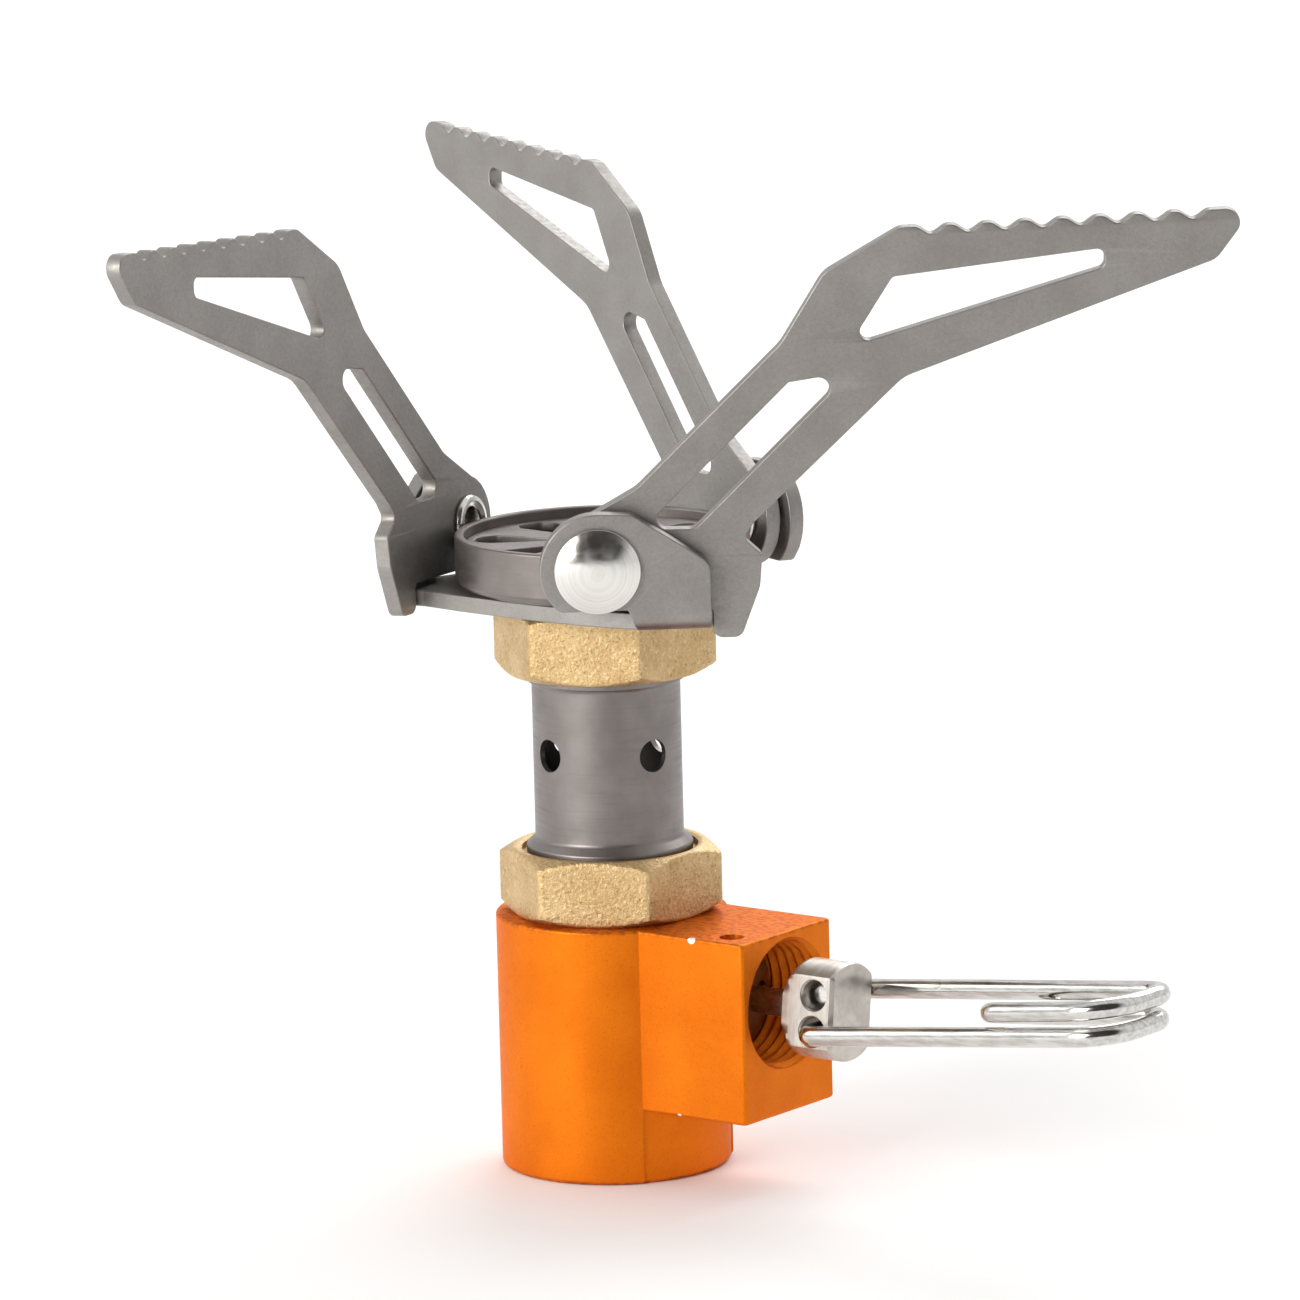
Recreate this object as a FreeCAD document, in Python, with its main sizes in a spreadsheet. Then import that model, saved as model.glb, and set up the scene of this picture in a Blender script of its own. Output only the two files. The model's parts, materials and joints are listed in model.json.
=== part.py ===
import FreeCAD, Part
import math
import os
import sys

import Sketcher
from FreeCAD import Placement, Rotation, Vector

# Canister stove: a pocket gas burner that screws onto a threaded gas canister.
# Row frame: origin at the centre of the valve body's bottom face, where the canister screws in.
# +Z is up along the burner, +X runs along the valve spindle towards the wire handle.
# Lengths are millimetres and angles are degrees.

os.makedirs("parts", exist_ok=True)
doc = FreeCAD.newDocument("canister_stove")
sheet = doc.addObject("Spreadsheet::Sheet", "dims")

BODY_HEIGHT = 22.2
LOWER_HEX_TOP = 27.95
PLATE_BOTTOM = 49.3
PLATE_THICKNESS = 1.4
PLATE_TOP = PLATE_BOTTOM + PLATE_THICKNESS
HEAD_TOP = 55.3
SHEET_METAL = 1.4
WASHER_THICKNESS = 0.5
ARM_FACE = 13.6
HUB_START = 19.2
HEX_ACROSS_FLATS = 17.0

DIMENSIONS = {
    # valve body, milled from one bar: a round stem with a square block for the valve
    "body_radius": 10.0,
    "body_height": BODY_HEIGHT,
    "block_reach": 18.7,
    "block_half_width": 6.38,
    "block_bottom": 6.45,
    "base_chamfer": 0.45,
    "socket_radius": 5.56,
    "socket_thread_end": 6.1,
    "socket_relief_radius": 5.85,
    "socket_depth": 9.0,
    "pin_bore_depth": 12.6,
    "feed_hole_radius": 0.6,
    "feed_hole_offset": 2.6,
    "valve_axis_height": 15.95,
    "valve_bore_radius": 5.6,
    "valve_bore_floor": 9.6,
    "chamber_radius": 1.6,
    "chamber_floor": 2.2,
    "seat_radius": 0.5,
    "riser_radius": 1.0,
    "jet_thread_radius": 5.0,
    "jet_thread_floor": 18.6,
    "pin_hole_x": 15.95,
    "pin_hole_y": -4.1,
    "pin_hole_radius": 1.15,
    # canister side
    "seal_mean_radius": 4.4,
    "seal_section_radius": 0.9,
    "pin_radius": 1.5,
    "pin_tip": 6.35,
    "pin_tip_chamfer": 0.4,
    # packing gland, its seal, the spindle and the hub
    "gland_radius": 5.52,
    "gland_end": 13.2,
    "gland_bore_radius": 1.27,
    "gland_groove_radius": 2.15,
    "gland_groove_start": 10.6,
    "gland_groove_end": 11.7,
    "wrench_hole_radius": 0.6,
    "wrench_hole_circle": 3.7,
    "wrench_hole_depth": 1.2,
    "stem_seal_mean_radius": 1.7,
    "stem_seal_section_radius": 0.42,
    "stem_radius": 1.2,
    "needle_shoulder": 4.4,
    "needle_tip": 2.35,
    "needle_tip_radius": 0.35,
    "stem_end": 21.4,
    "hub_start": HUB_START,
    "hub_nose_radius": 2.1,
    "hub_cone_end": 20.9,
    "hub_radius": 4.25,
    "hub_end": 25.4,
    "hub_chamfer": 0.35,
    "hub_half_flats": 2.94,
    "hub_bore_radius": 1.25,
    "hub_bore_end": 21.5,
    "cross_hole_x": 23.4,
    "cross_hole_low": -1.67,
    "cross_hole_high": 1.43,
    "cross_hole_radius": 1.3,
    # wire handle
    "wire_radius": 0.86,
    # brass hexagons, mixing tube and jet
    "hex_half_flats": HEX_ACROSS_FLATS / 2,
    "hex_corner_radius": HEX_ACROSS_FLATS / math.sqrt(3),
    "hex_face_radius": 8.3,
    "lower_hex_top": LOWER_HEX_TOP,
    "upper_hex_bottom": 43.25,
    "tube_seat_radius": 7.7,
    "tube_seat_floor": 27.25,
    "spigot_radius": 5.85,
    "spigot_top": 29.8,
    "jet_seat_radius": 1.9,
    "jet_seat_floor": 24.2,
    "filter_floor": 23.2,
    "filter_radius": 1.5,
    "tube_radius": 6.4,
    "tube_inner_radius": 5.9,
    "tube_flare_radius": 7.16,
    "tube_flare_bottom": 27.3,
    "tube_flare_level": 27.85,
    "tube_flare_top": 28.9,
    "tube_lip_radius": 6.9,
    "tube_lip_bottom": 42.4,
    "tube_lip_level": 43.0,
    "tube_top": 43.25,
    "tube_wall": 0.5,
    "air_hole_radius": 1.45,
    "air_hole_height": 36.4,
    "jet_top": 31.6,
    "jet_waist": 29.6,
    "jet_tip_radius": 1.0,
    "jet_orifice_radius": 0.15,
    "jet_bore_radius": 0.7,
    "neck_radius": 6.15,
    "neck_inner_radius": 5.3,
    "neck_bottom": 45.4,
    "nut_thread_radius": 6.2,
    # burner head and its slotted plate
    "head_radius": 12.65,
    "head_bottom": PLATE_TOP,
    "head_top": HEAD_TOP,
    "head_wall": 0.65,
    "head_floor": 0.8,
    "head_ledge_width": 0.9,
    "flame_plate_top": 54.45,
    "flame_plate_thickness": 0.8,
    "slot_outer": 10.8,
    "slot_inner": 3.6,
    "slot_outer_half": 2.2,
    "slot_inner_half": 0.55,
    "slot_corner": 0.45,
    # bracket: a flat plate with three ears bent up
    "plate_bottom": PLATE_BOTTOM,
    "plate_thickness": PLATE_THICKNESS,
    "plate_hole_radius": 6.2,
    "plate_edge_radius": 26.0,
    "ear_thickness": SHEET_METAL,
    "ear_radius": 4.85,
    "ear_top_end": 2.7,
    "ear_shoulder_u": 8.6,
    "ear_shoulder_v": 1.15,
    "ear_right": 9.5,
    "ear_left": 2.6,
    "ear_round_bottom": -3.5,
    # pot arms
    "arm_thickness": SHEET_METAL,
    "arm_hub_radius": 4.1,
    "hinge_hole_radius": 2.05,
    # rivets and washers
    "rivet_radius": 2.0,
    "rivet_head_radius": 3.62,
    "rivet_head_height": 1.5,
    "rivet_rim": 0.45,
    "rivet_tail_radius": 2.55,
    "rivet_tail_length": 0.6,
    "rivet_bore_radius": 1.3,
    "rivet_bore_depth": 2.6,
    "washer_radius": 3.4,
    "washer_thickness": WASHER_THICKNESS,
}

# Pot arm outline in its own plane: along the arm (u) and up (v) from the hinge, with corner radius.
ARM_OUTLINE = {
    "tip_top": (55.35, 29.7, 1.1),
    "tip_low": (52.15, 25.35, 1.2),
    "elbow_low": (25.9, 15.75, 2.0),
    "notch_top": (11.7, 1.55, 0.8),
    "heel_shoulder": (14.1, 0.75, 0.7),
    "heel_low": (12.05, -6.38, 0.8),
    "heel_inner": (9.72, -6.38, 0.8),
    "heel_root": (9.72, -3.85, 0.0),
    "hub_low": (2.3, -3.85, 0.0),
    "leg_root": (3.35, 6.55, 2.2),
    "neck": (15.6, 18.8, 3.0),
    "shoulder": (19.2, 24.75, 1.4),
    "crest": (25.6, 28.5, 0.9),
}
ARM_WINDOW = {
    "window_crest": (25.0, 24.3, 0.6),
    "window_low": (21.3, 18.4, 0.75),
    "window_tip_low": (42.75, 24.85, 0.65),
    "window_tip_top": (42.75, 26.45, 0.65),
}
ARM_SLOT = {
    "slot_top": (16.25, 15.45, 0.4),
    "slot_foot": (3.85, 3.05, 0.9),
    "slot_heel": (8.3, 3.05, 1.2),
    "slot_crown": (21.45, 16.25, 0.95),
}
GROOVE_FIRST_U = 28.27
GROOVE_PITCH = 3.13
GROOVE_COUNT = 8
GROOVE_RADIUS = 1.15
GROOVE_DEPTH = 0.62

# Where the three arms stand, and how each plane leans outwards.
ARM_AZIMUTH = {"a": -50.85, "b": -170.85, "c": 69.15}
ARM_REST_FOLD = {"a": -0.7, "b": 1.3, "c": -0.55}
ARM_LEAN = 2.95
HINGE_HEIGHT = 54.93
HINGE_ALONG = -0.9
HEX_TURN_LOWER = 27.8
HEX_TURN_UPPER = 26.4
HUB_ROLL = -6.8
FIRST_AIR_HOLE = -15.8
AIR_HOLES = 4
FLAME_SLOTS = 8
FIRST_FLAME_SLOT = 27.4

# Tabs of the bracket plate, in the frame of one ear: distance from the burner axis (d), along (u).
TAB_OUTER = 16.5
TAB_STOP_EDGE = 9.58
TAB_STOP_START = 12.9
TAB_NOTCH_START = 15.2

# Wire handle: its axis in the low cross hole, how far it is tipped up, and the sizes of the loop.
HANDLE_X = 23.4
HANDLE_HEIGHT = 14.5
HANDLE_PITCH = 6.1
HANDLE_HALF_WIDTH = 4.4
HANDLE_LOW_END = 31.7
HANDLE_HIGH_END = 32.1
HANDLE_RETURN = 19.0
HANDLE_LOW_LOOP = 0.38
HANDLE_RISE = 2.3
HANDLE_HIGH_LOOP = 2.55
HANDLE_HIGH_LEG = 2.42
HANDLE_NEAR_BEND = 3.6
HANDLE_FAR_BEND = 2.2
HANDLE_RETURN_BEND = 1.8
HANDLE_ROOT_BEND = 1.3
STUB_IN_HUB = -0.5
STUB_BESIDE_HUB = 3.35

for table in (ARM_OUTLINE, ARM_WINDOW, ARM_SLOT):
    for point_name, (along, height, corner) in table.items():
        DIMENSIONS[point_name + "_u"] = along
        DIMENSIONS[point_name + "_v"] = height
        DIMENSIONS[point_name + "_corner"] = corner

for row, (alias, number) in enumerate(DIMENSIONS.items(), start=1):
    sheet.set("A%d" % row, alias.replace("_", " "))
    sheet.set("B%d" % row, repr(round(number, 4)))
    sheet.setAlias("B%d" % row, alias)
doc.recompute()


class Size:
    """A length with its value and the expression that ties it to the sheet."""

    def __init__(self, value, text):
        self.value = value
        self.text = text

    def __add__(self, other):
        other = as_size(other)
        return Size(self.value + other.value, "(%s + %s)" % (self.text, other.text))

    def __sub__(self, other):
        other = as_size(other)
        return Size(self.value - other.value, "(%s - %s)" % (self.text, other.text))

    def __mul__(self, factor):
        return Size(self.value * factor, "(%s * %.6f)" % (self.text, factor))

    def __neg__(self):
        return Size(-self.value, "(-%s)" % self.text)


class Cells:
    """Reads a cell of the sheet as a Size."""

    def __getattr__(self, alias):
        return Size(float(sheet.get(alias)), "dims." + alias)


def as_size(number):
    if isinstance(number, Size):
        return number
    return Size(float(number), "%.6f" % number)


d = Cells()


def make_body(label):
    body = doc.addObject("PartDesign::Body", label)
    body.Label = label
    return body


def new_sketch(body, name, role, offset=0):
    """A sketch on one of the body's own origin planes, moved along the plane's normal."""
    sketch = body.newObject("Sketcher::SketchObject", name)
    plane = [feature for feature in body.Origin.OriginFeatures if feature.Role == role][0]
    sketch.AttachmentSupport = [(plane, "")]
    sketch.MapMode = "FlatFace"
    shift = as_size(offset)
    if shift.value:
        sketch.AttachmentOffset = Placement(Vector(0, 0, shift.value), Rotation())
        sketch.setExpression("AttachmentOffset.Base.z", shift.text)
    return sketch


def tie(sketch, kind, curve, vertex, size):
    """Holds one coordinate of a vertex at a size."""
    size = as_size(size)
    if abs(size.value) < 1e-9:
        axis = -2 if kind == "DistanceX" else -1
        sketch.addConstraint(Sketcher.Constraint("PointOnObject", curve, vertex, axis))
        return
    rule = Sketcher.Constraint(kind, -1, 1, curve, vertex, size.value)
    number = sketch.addConstraint(rule)
    sketch.setExpression("Constraints[%d]" % number, size.text)


def outline(sketch, points, arcs=None):
    """A closed outline through points; arcs gives the radius of each side that bulges outwards."""
    arcs = arcs or {}
    first = sketch.GeometryCount
    count = len(points)
    corners = [Vector(as_size(x).value, as_size(y).value, 0) for x, y in points]
    for i in range(count):
        start = corners[i]
        end = corners[(i + 1) % count]
        if i in arcs:
            chord = end - start
            rise = math.sqrt(arcs[i].value ** 2 - (chord.Length / 2) ** 2)
            inward = Vector(-chord.y, chord.x, 0).normalize()
            centre = (start + end) * 0.5 + inward * rise
            circle = Part.Circle(centre, Vector(0, 0, 1), arcs[i].value)
            side = Part.ArcOfCircle(circle, circle.parameter(start), circle.parameter(end))
        else:
            side = Part.LineSegment(start, end)
        sketch.addGeometry(side, False)
    for i in range(count):
        following = first + (i + 1) % count
        sketch.addConstraint(Sketcher.Constraint("Coincident", first + i, 2, following, 1))
    for i, (x, y) in enumerate(points):
        tie(sketch, "DistanceX", first + i, 1, x)
        tie(sketch, "DistanceY", first + i, 1, y)
    for i, radius in arcs.items():
        number = sketch.addConstraint(Sketcher.Constraint("Radius", first + i, radius.value))
        sketch.setExpression("Constraints[%d]" % number, radius.text)


def circle(sketch, x, y, radius):
    x, y, radius = as_size(x), as_size(y), as_size(radius)
    centre = Vector(x.value, y.value, 0)
    curve = sketch.addGeometry(Part.Circle(centre, Vector(0, 0, 1), radius.value), False)
    tie(sketch, "DistanceX", curve, 3, x)
    tie(sketch, "DistanceY", curve, 3, y)
    number = sketch.addConstraint(Sketcher.Constraint("Radius", curve, radius.value))
    sketch.setExpression("Constraints[%d]" % number, radius.text)


def revolve(body, name, points, axis="V_Axis", role="XZ_Plane", cut=False):
    """Turns an outline of (radius, height) points round the sketch's axis."""
    sketch = new_sketch(body, name + "_profile", role)
    outline(sketch, points)
    kind = "PartDesign::Groove" if cut else "PartDesign::Revolution"
    feature = body.newObject(kind, name)
    feature.Profile = sketch
    feature.ReferenceAxis = (sketch, [axis])
    feature.Angle = 360
    return feature


def pad(body, sketch, name, length):
    feature = body.newObject("PartDesign::Pad", name)
    feature.Profile = sketch
    length = as_size(length)
    feature.Length = length.value
    feature.setExpression("Length", length.text)
    return feature


def pocket(body, sketch, name, length, reverse=False, middle=False):
    """Cuts the sketch's outline to a depth, and stops the build if nothing was cut."""
    doc.recompute()
    before = body.Shape.Volume
    feature = body.newObject("PartDesign::Pocket", name)
    feature.Profile = sketch
    length = as_size(length)
    feature.Length = length.value
    feature.setExpression("Length", length.text)
    feature.Reversed = reverse
    feature.Midplane = middle
    doc.recompute()
    if not body.Shape.Volume < before - 1e-6:
        sys.exit("pocket %s cut nothing" % name)
    return feature


def edges_at(shape, points, axis):
    """Names of the straight edges along an axis (0, 1 or 2) that pass through points."""
    others = [i for i in range(3) if i != axis]
    names = []
    for number, edge in enumerate(shape.Edges, start=1):
        start, end = edge.Vertexes[0].Point, edge.Vertexes[-1].Point
        if (start - end).Length < 1e-6 or abs(abs(start[axis] - end[axis]) - (start - end).Length) > 1e-6:
            continue
        for point in points:
            if all(abs(start[k] - point[j]) < 1e-4 for j, k in enumerate(others)):
                names.append("Edge%d" % number)
    return names


def round_edges(body, name, points, axis, radius):
    """Rounds the straight edges of a body's last feature that stand at points."""
    doc.recompute()
    base = body.Tip
    names = edges_at(base.Shape, points, axis)
    if len(names) != len(points):
        sys.exit("fillet %s found %d of %d edges" % (name, len(names), len(points)))
    fillet = body.newObject("PartDesign::Fillet", name)
    fillet.Base = (base, names)
    fillet.Radius = radius.value
    fillet.setExpression("Radius", radius.text)
    doc.recompute()
    return fillet


def ear_frame(letter):
    """Placement of one ear: +X along the arm, +Z up the ear, -Y outwards, origin on the hinge."""
    azimuth = math.radians(ARM_AZIMUTH[letter])
    lean = math.radians(ARM_LEAN)
    normal = Vector(math.cos(azimuth), math.sin(azimuth), 0)
    along = Vector(-math.sin(azimuth), math.cos(azimuth), 0)
    upright = Vector(0, 0, 1)
    outward = normal * math.cos(lean) - upright * math.sin(lean)
    up = normal * math.sin(lean) + upright * math.cos(lean)
    base = normal * ARM_FACE + along * HINGE_ALONG + upright * HINGE_HEIGHT
    return Placement(base, Rotation(along, outward * -1, up, "XYZ"))


def valve_frame(roll=0.0):
    """Placement with +X along the valve axis, turned by roll about it."""
    return Placement(Vector(0, 0, d.valve_axis_height.value), Rotation(Vector(1, 0, 0), roll))


def valve_body():
    body = make_body("valve_body")
    stem = new_sketch(body, "stem_outline", "XY_Plane")
    circle(stem, 0, 0, d.body_radius)
    pad(body, stem, "stem", d.body_height)
    block = new_sketch(body, "block_outline", "XY_Plane", d.block_bottom)
    half = d.block_half_width
    outline(block, [(0, -half), (d.block_reach, -half), (d.block_reach, half), (0, half)])
    pad(body, block, "block", d.body_height - d.block_bottom)

    rim = d.body_radius + 1
    revolve(
        body,
        "base_chamfer",
        [(rim, 0), (rim, d.base_chamfer + 1), (d.body_radius - d.base_chamfer, 0)],
        cut=True,
    )
    revolve(
        body,
        "canister_socket",
        [
            (0, 0),
            (d.socket_radius, 0),
            (d.socket_radius, d.socket_thread_end),
            (d.socket_relief_radius, d.socket_thread_end),
            (d.socket_relief_radius, d.socket_depth),
            (d.pin_radius, d.socket_depth),
            (d.pin_radius, d.pin_bore_depth),
            (0, d.pin_bore_depth),
        ],
        cut=True,
    )
    feed = new_sketch(body, "feed_hole_outline", "XY_Plane", d.socket_depth)
    circle(feed, d.feed_hole_offset, 0, d.feed_hole_radius)
    pocket(body, feed, "feed_hole", d.valve_axis_height - d.socket_depth, reverse=True)

    bore = new_sketch(body, "valve_bore_outline", "YZ_Plane", d.valve_bore_floor)
    circle(bore, 0, d.valve_axis_height, d.valve_bore_radius)
    pocket(body, bore, "valve_bore", d.block_reach - d.valve_bore_floor, reverse=True)
    chamber = new_sketch(body, "chamber_outline", "YZ_Plane", d.chamber_floor)
    circle(chamber, 0, d.valve_axis_height, d.chamber_radius)
    pocket(body, chamber, "chamber", d.valve_bore_floor - d.chamber_floor, reverse=True)
    seat = new_sketch(body, "seat_outline", "YZ_Plane")
    circle(seat, 0, d.valve_axis_height, d.seat_radius)
    pocket(body, seat, "seat", d.chamber_floor, reverse=True)

    riser = new_sketch(body, "riser_outline", "XY_Plane", d.valve_axis_height)
    circle(riser, 0, 0, d.riser_radius)
    pocket(body, riser, "riser", d.jet_thread_floor - d.valve_axis_height, reverse=True)
    thread = new_sketch(body, "jet_thread_outline", "XY_Plane", d.jet_thread_floor)
    circle(thread, 0, 0, d.jet_thread_radius)
    pocket(body, thread, "jet_thread", d.body_height - d.jet_thread_floor, reverse=True)
    pin = new_sketch(body, "pin_hole_outline", "XY_Plane", d.valve_axis_height)
    circle(pin, d.pin_hole_x, d.pin_hole_y, d.pin_hole_radius)
    pocket(body, pin, "pin_hole", d.body_height - d.valve_axis_height, reverse=True)
    return body


def torus(label, mean_radius, section_radius, placement):
    ring = doc.addObject("Part::Torus", label)
    ring.Label = label
    ring.setExpression("Radius1", mean_radius.text)
    ring.setExpression("Radius2", section_radius.text)
    ring.Placement = placement
    return ring


def canister_seal():
    height = (d.socket_depth - d.seal_section_radius).value
    return torus(
        "canister_seal",
        d.seal_mean_radius,
        d.seal_section_radius,
        Placement(Vector(0, 0, height), Rotation()),
    )


def actuator_pin():
    body = make_body("actuator_pin")
    chamfer = d.pin_tip_chamfer
    revolve(
        body,
        "pin",
        [
            (0, d.pin_tip),
            (d.pin_radius - chamfer, d.pin_tip),
            (d.pin_radius, d.pin_tip + chamfer),
            (d.pin_radius, d.pin_bore_depth),
            (0, d.pin_bore_depth),
        ],
    )
    return body


def packing_gland():
    body = make_body("packing_gland")
    revolve(
        body,
        "gland",
        [
            (d.valve_bore_floor, d.gland_bore_radius),
            (d.gland_groove_start, d.gland_bore_radius),
            (d.gland_groove_start, d.gland_groove_radius),
            (d.gland_groove_end, d.gland_groove_radius),
            (d.gland_groove_end, d.gland_bore_radius),
            (d.gland_end, d.gland_bore_radius),
            (d.gland_end, d.gland_radius),
            (d.valve_bore_floor, d.gland_radius),
        ],
        axis="H_Axis",
    )
    wrench = new_sketch(body, "wrench_holes_outline", "YZ_Plane", d.gland_end - d.wrench_hole_depth)
    for side in (-1, 1):
        circle(wrench, d.wrench_hole_circle * side, 0, d.wrench_hole_radius)
    pocket(body, wrench, "wrench_holes", d.wrench_hole_depth, reverse=True)
    body.Placement = valve_frame()
    return body


def spindle_seal():
    middle = (d.gland_groove_start.value + d.gland_groove_end.value) / 2
    place = Placement(Vector(middle, 0, d.valve_axis_height.value), Rotation(Vector(0, 1, 0), 90))
    return torus("spindle_seal", d.stem_seal_mean_radius, d.stem_seal_section_radius, place)


def needle_spindle():
    body = make_body("needle_spindle")
    revolve(
        body,
        "spindle",
        [
            (d.needle_tip, 0),
            (d.needle_tip, d.needle_tip_radius),
            (d.needle_shoulder, d.stem_radius),
            (d.stem_end, d.stem_radius),
            (d.stem_end, 0),
        ],
        axis="H_Axis",
    )
    body.Placement = valve_frame()
    return body


def spindle_hub():
    body = make_body("spindle_hub")
    revolve(
        body,
        "hub",
        [
            (d.hub_start, d.hub_bore_radius),
            (d.hub_start, d.hub_nose_radius),
            (d.hub_cone_end, d.hub_radius),
            (d.hub_end - d.hub_chamfer, d.hub_radius),
            (d.hub_end, d.hub_radius - d.hub_chamfer),
            (d.hub_end, 0),
            (d.hub_bore_end, 0),
            (d.hub_bore_end, d.hub_bore_radius),
        ],
        axis="H_Axis",
    )
    flats = new_sketch(body, "flats_outline", "YZ_Plane", d.hub_start)
    reach = d.hub_radius + 1
    inner = d.hub_half_flats
    outline(flats, [(inner, -reach), (reach, -reach), (reach, reach), (inner, reach)])
    outline(flats, [(-reach, -reach), (-inner, -reach), (-inner, reach), (-reach, reach)])
    pocket(body, flats, "flats", d.hub_end - d.hub_start, reverse=True)
    holes = new_sketch(body, "cross_holes_outline", "XZ_Plane")
    circle(holes, d.cross_hole_x, d.cross_hole_low, d.cross_hole_radius)
    circle(holes, d.cross_hole_x, d.cross_hole_high, d.cross_hole_radius)
    pocket(body, holes, "cross_holes", d.hub_radius * 2, middle=True)
    body.Placement = valve_frame(HUB_ROLL)
    return body


def bent_path(points, radii):
    """A wire of straight runs through points, joined by arcs tangent to both runs."""
    edges = []
    start = points[0]
    for i in range(1, len(points) - 1):
        before = (points[i - 1] - points[i]).normalize()
        after = (points[i + 1] - points[i]).normalize()
        half = before.getAngle(after) / 2
        setback = radii[i] / math.tan(half)
        enter = points[i] + before * setback
        leave = points[i] + after * setback
        bisector = (before + after).normalize()
        centre = points[i] + bisector * (radii[i] / math.sin(half))
        middle = centre - bisector * radii[i]
        edges.append(Part.LineSegment(start, enter).toShape())
        edges.append(Part.Arc(enter, middle, leave).toShape())
        start = leave
    edges.append(Part.LineSegment(start, points[-1]).toShape())
    return Part.Wire(edges)


def handle():
    """One wire: low hole, front leg, far end, back along the rear, across, round again, high hole."""
    half = HANDLE_HALF_WIDTH
    points = [
        Vector(0, STUB_IN_HUB, 0),
        Vector(0, -half, 0),
        Vector(HANDLE_LOW_END, -half, HANDLE_LOW_LOOP),
        Vector(HANDLE_LOW_END, half, HANDLE_LOW_LOOP),
        Vector(HANDLE_RETURN, half, HANDLE_LOW_LOOP),
        Vector(HANDLE_RETURN, -half, HANDLE_RISE),
        Vector(HANDLE_HIGH_END, -half, HANDLE_HIGH_LOOP),
        Vector(HANDLE_HIGH_END, half, HANDLE_HIGH_LOOP),
        Vector(0, half, HANDLE_HIGH_LEG),
        Vector(0, STUB_BESIDE_HUB, HANDLE_HIGH_LEG),
    ]
    stub_bend = (half - STUB_BESIDE_HUB) * 0.95
    near, far, back = HANDLE_NEAR_BEND, HANDLE_FAR_BEND, HANDLE_RETURN_BEND
    radii = [0, HANDLE_ROOT_BEND, near, far, back, back, near, far, stub_bend, 0]
    path = bent_path(points, radii)
    section = Part.Wire(Part.Circle(points[0], Vector(0, 1, 0), d.wire_radius.value).toShape())
    wire = doc.addObject("Part::Feature", "handle")
    wire.Label = "handle"
    wire.Shape = path.makePipeShell([section], True, True)
    place = Placement(Vector(HANDLE_X, 0, HANDLE_HEIGHT), Rotation(Vector(0, 1, 0), -HANDLE_PITCH))
    wire.Placement = place
    expected = math.pi * d.wire_radius.value ** 2 * path.Length
    print("handle volume over section times length", wire.Shape.Volume / expected)
    return wire


def hexagon(body, name, bottom, top, turn):
    """A hexagon bar between two heights, its corners eased by a 30 degree chamfer at both ends."""
    sketch = new_sketch(body, name + "_outline", "XY_Plane", bottom)
    corners = []
    for i in range(6):
        angle = math.radians(turn + 60 * i)
        corners.append((d.hex_corner_radius * math.cos(angle), d.hex_corner_radius * math.sin(angle)))
    outline(sketch, corners)
    pad(body, sketch, name, top - bottom)
    ease = d.hex_corner_radius - d.hex_face_radius + 0.2
    rim = d.hex_face_radius + ease
    slope = math.tan(math.radians(30))
    for end, level, sign in (("bottom", bottom, 1), ("top", top, -1)):
        points = [(d.hex_face_radius, level), (rim, level + ease * (slope * sign)), (rim, level)]
        revolve(body, "%s_%s_chamfer" % (name, end), points, cut=True)


def jet_holder():
    body = make_body("jet_holder")
    hexagon(body, "lower_hex", d.body_height, d.lower_hex_top, HEX_TURN_LOWER)
    revolve(
        body,
        "tube_seat",
        [
            (0, d.tube_seat_floor),
            (d.tube_seat_radius, d.tube_seat_floor),
            (d.tube_seat_radius, d.lower_hex_top + 0.1),
            (0, d.lower_hex_top + 0.1),
        ],
        cut=True,
    )
    revolve(
        body,
        "spigots",
        [
            (0, d.jet_thread_floor),
            (d.jet_thread_radius - 0.05, d.jet_thread_floor),
            (d.jet_thread_radius - 0.05, d.body_height + 0.5),
            (d.spigot_radius, d.body_height + 0.5),
            (d.spigot_radius, d.spigot_top),
            (0, d.spigot_top),
        ],
    )
    revolve(
        body,
        "gas_way",
        [
            (0, d.jet_thread_floor),
            (d.riser_radius, d.jet_thread_floor),
            (d.riser_radius, d.filter_floor),
            (d.filter_radius, d.filter_floor),
            (d.filter_radius, d.jet_seat_floor),
            (d.jet_seat_radius, d.jet_seat_floor),
            (d.jet_seat_radius, d.spigot_top),
            (0, d.spigot_top),
        ],
        cut=True,
    )
    return body


def jet_filter():
    body = make_body("jet_filter")
    sketch = new_sketch(body, "filter_outline", "XY_Plane", d.filter_floor)
    circle(sketch, 0, 0, d.filter_radius)
    pad(body, sketch, "filter", d.jet_seat_floor - d.filter_floor)
    return body


def jet():
    body = make_body("jet")
    revolve(
        body,
        "jet_shape",
        [
            (d.jet_bore_radius, d.jet_seat_floor),
            (d.jet_seat_radius, d.jet_seat_floor),
            (d.jet_seat_radius, d.jet_waist),
            (d.jet_tip_radius, d.jet_top),
            (d.jet_orifice_radius, d.jet_top),
            (d.jet_orifice_radius, d.jet_top - 0.6),
            (d.jet_bore_radius, d.jet_top - 1.2),
        ],
    )
    return body


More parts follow.
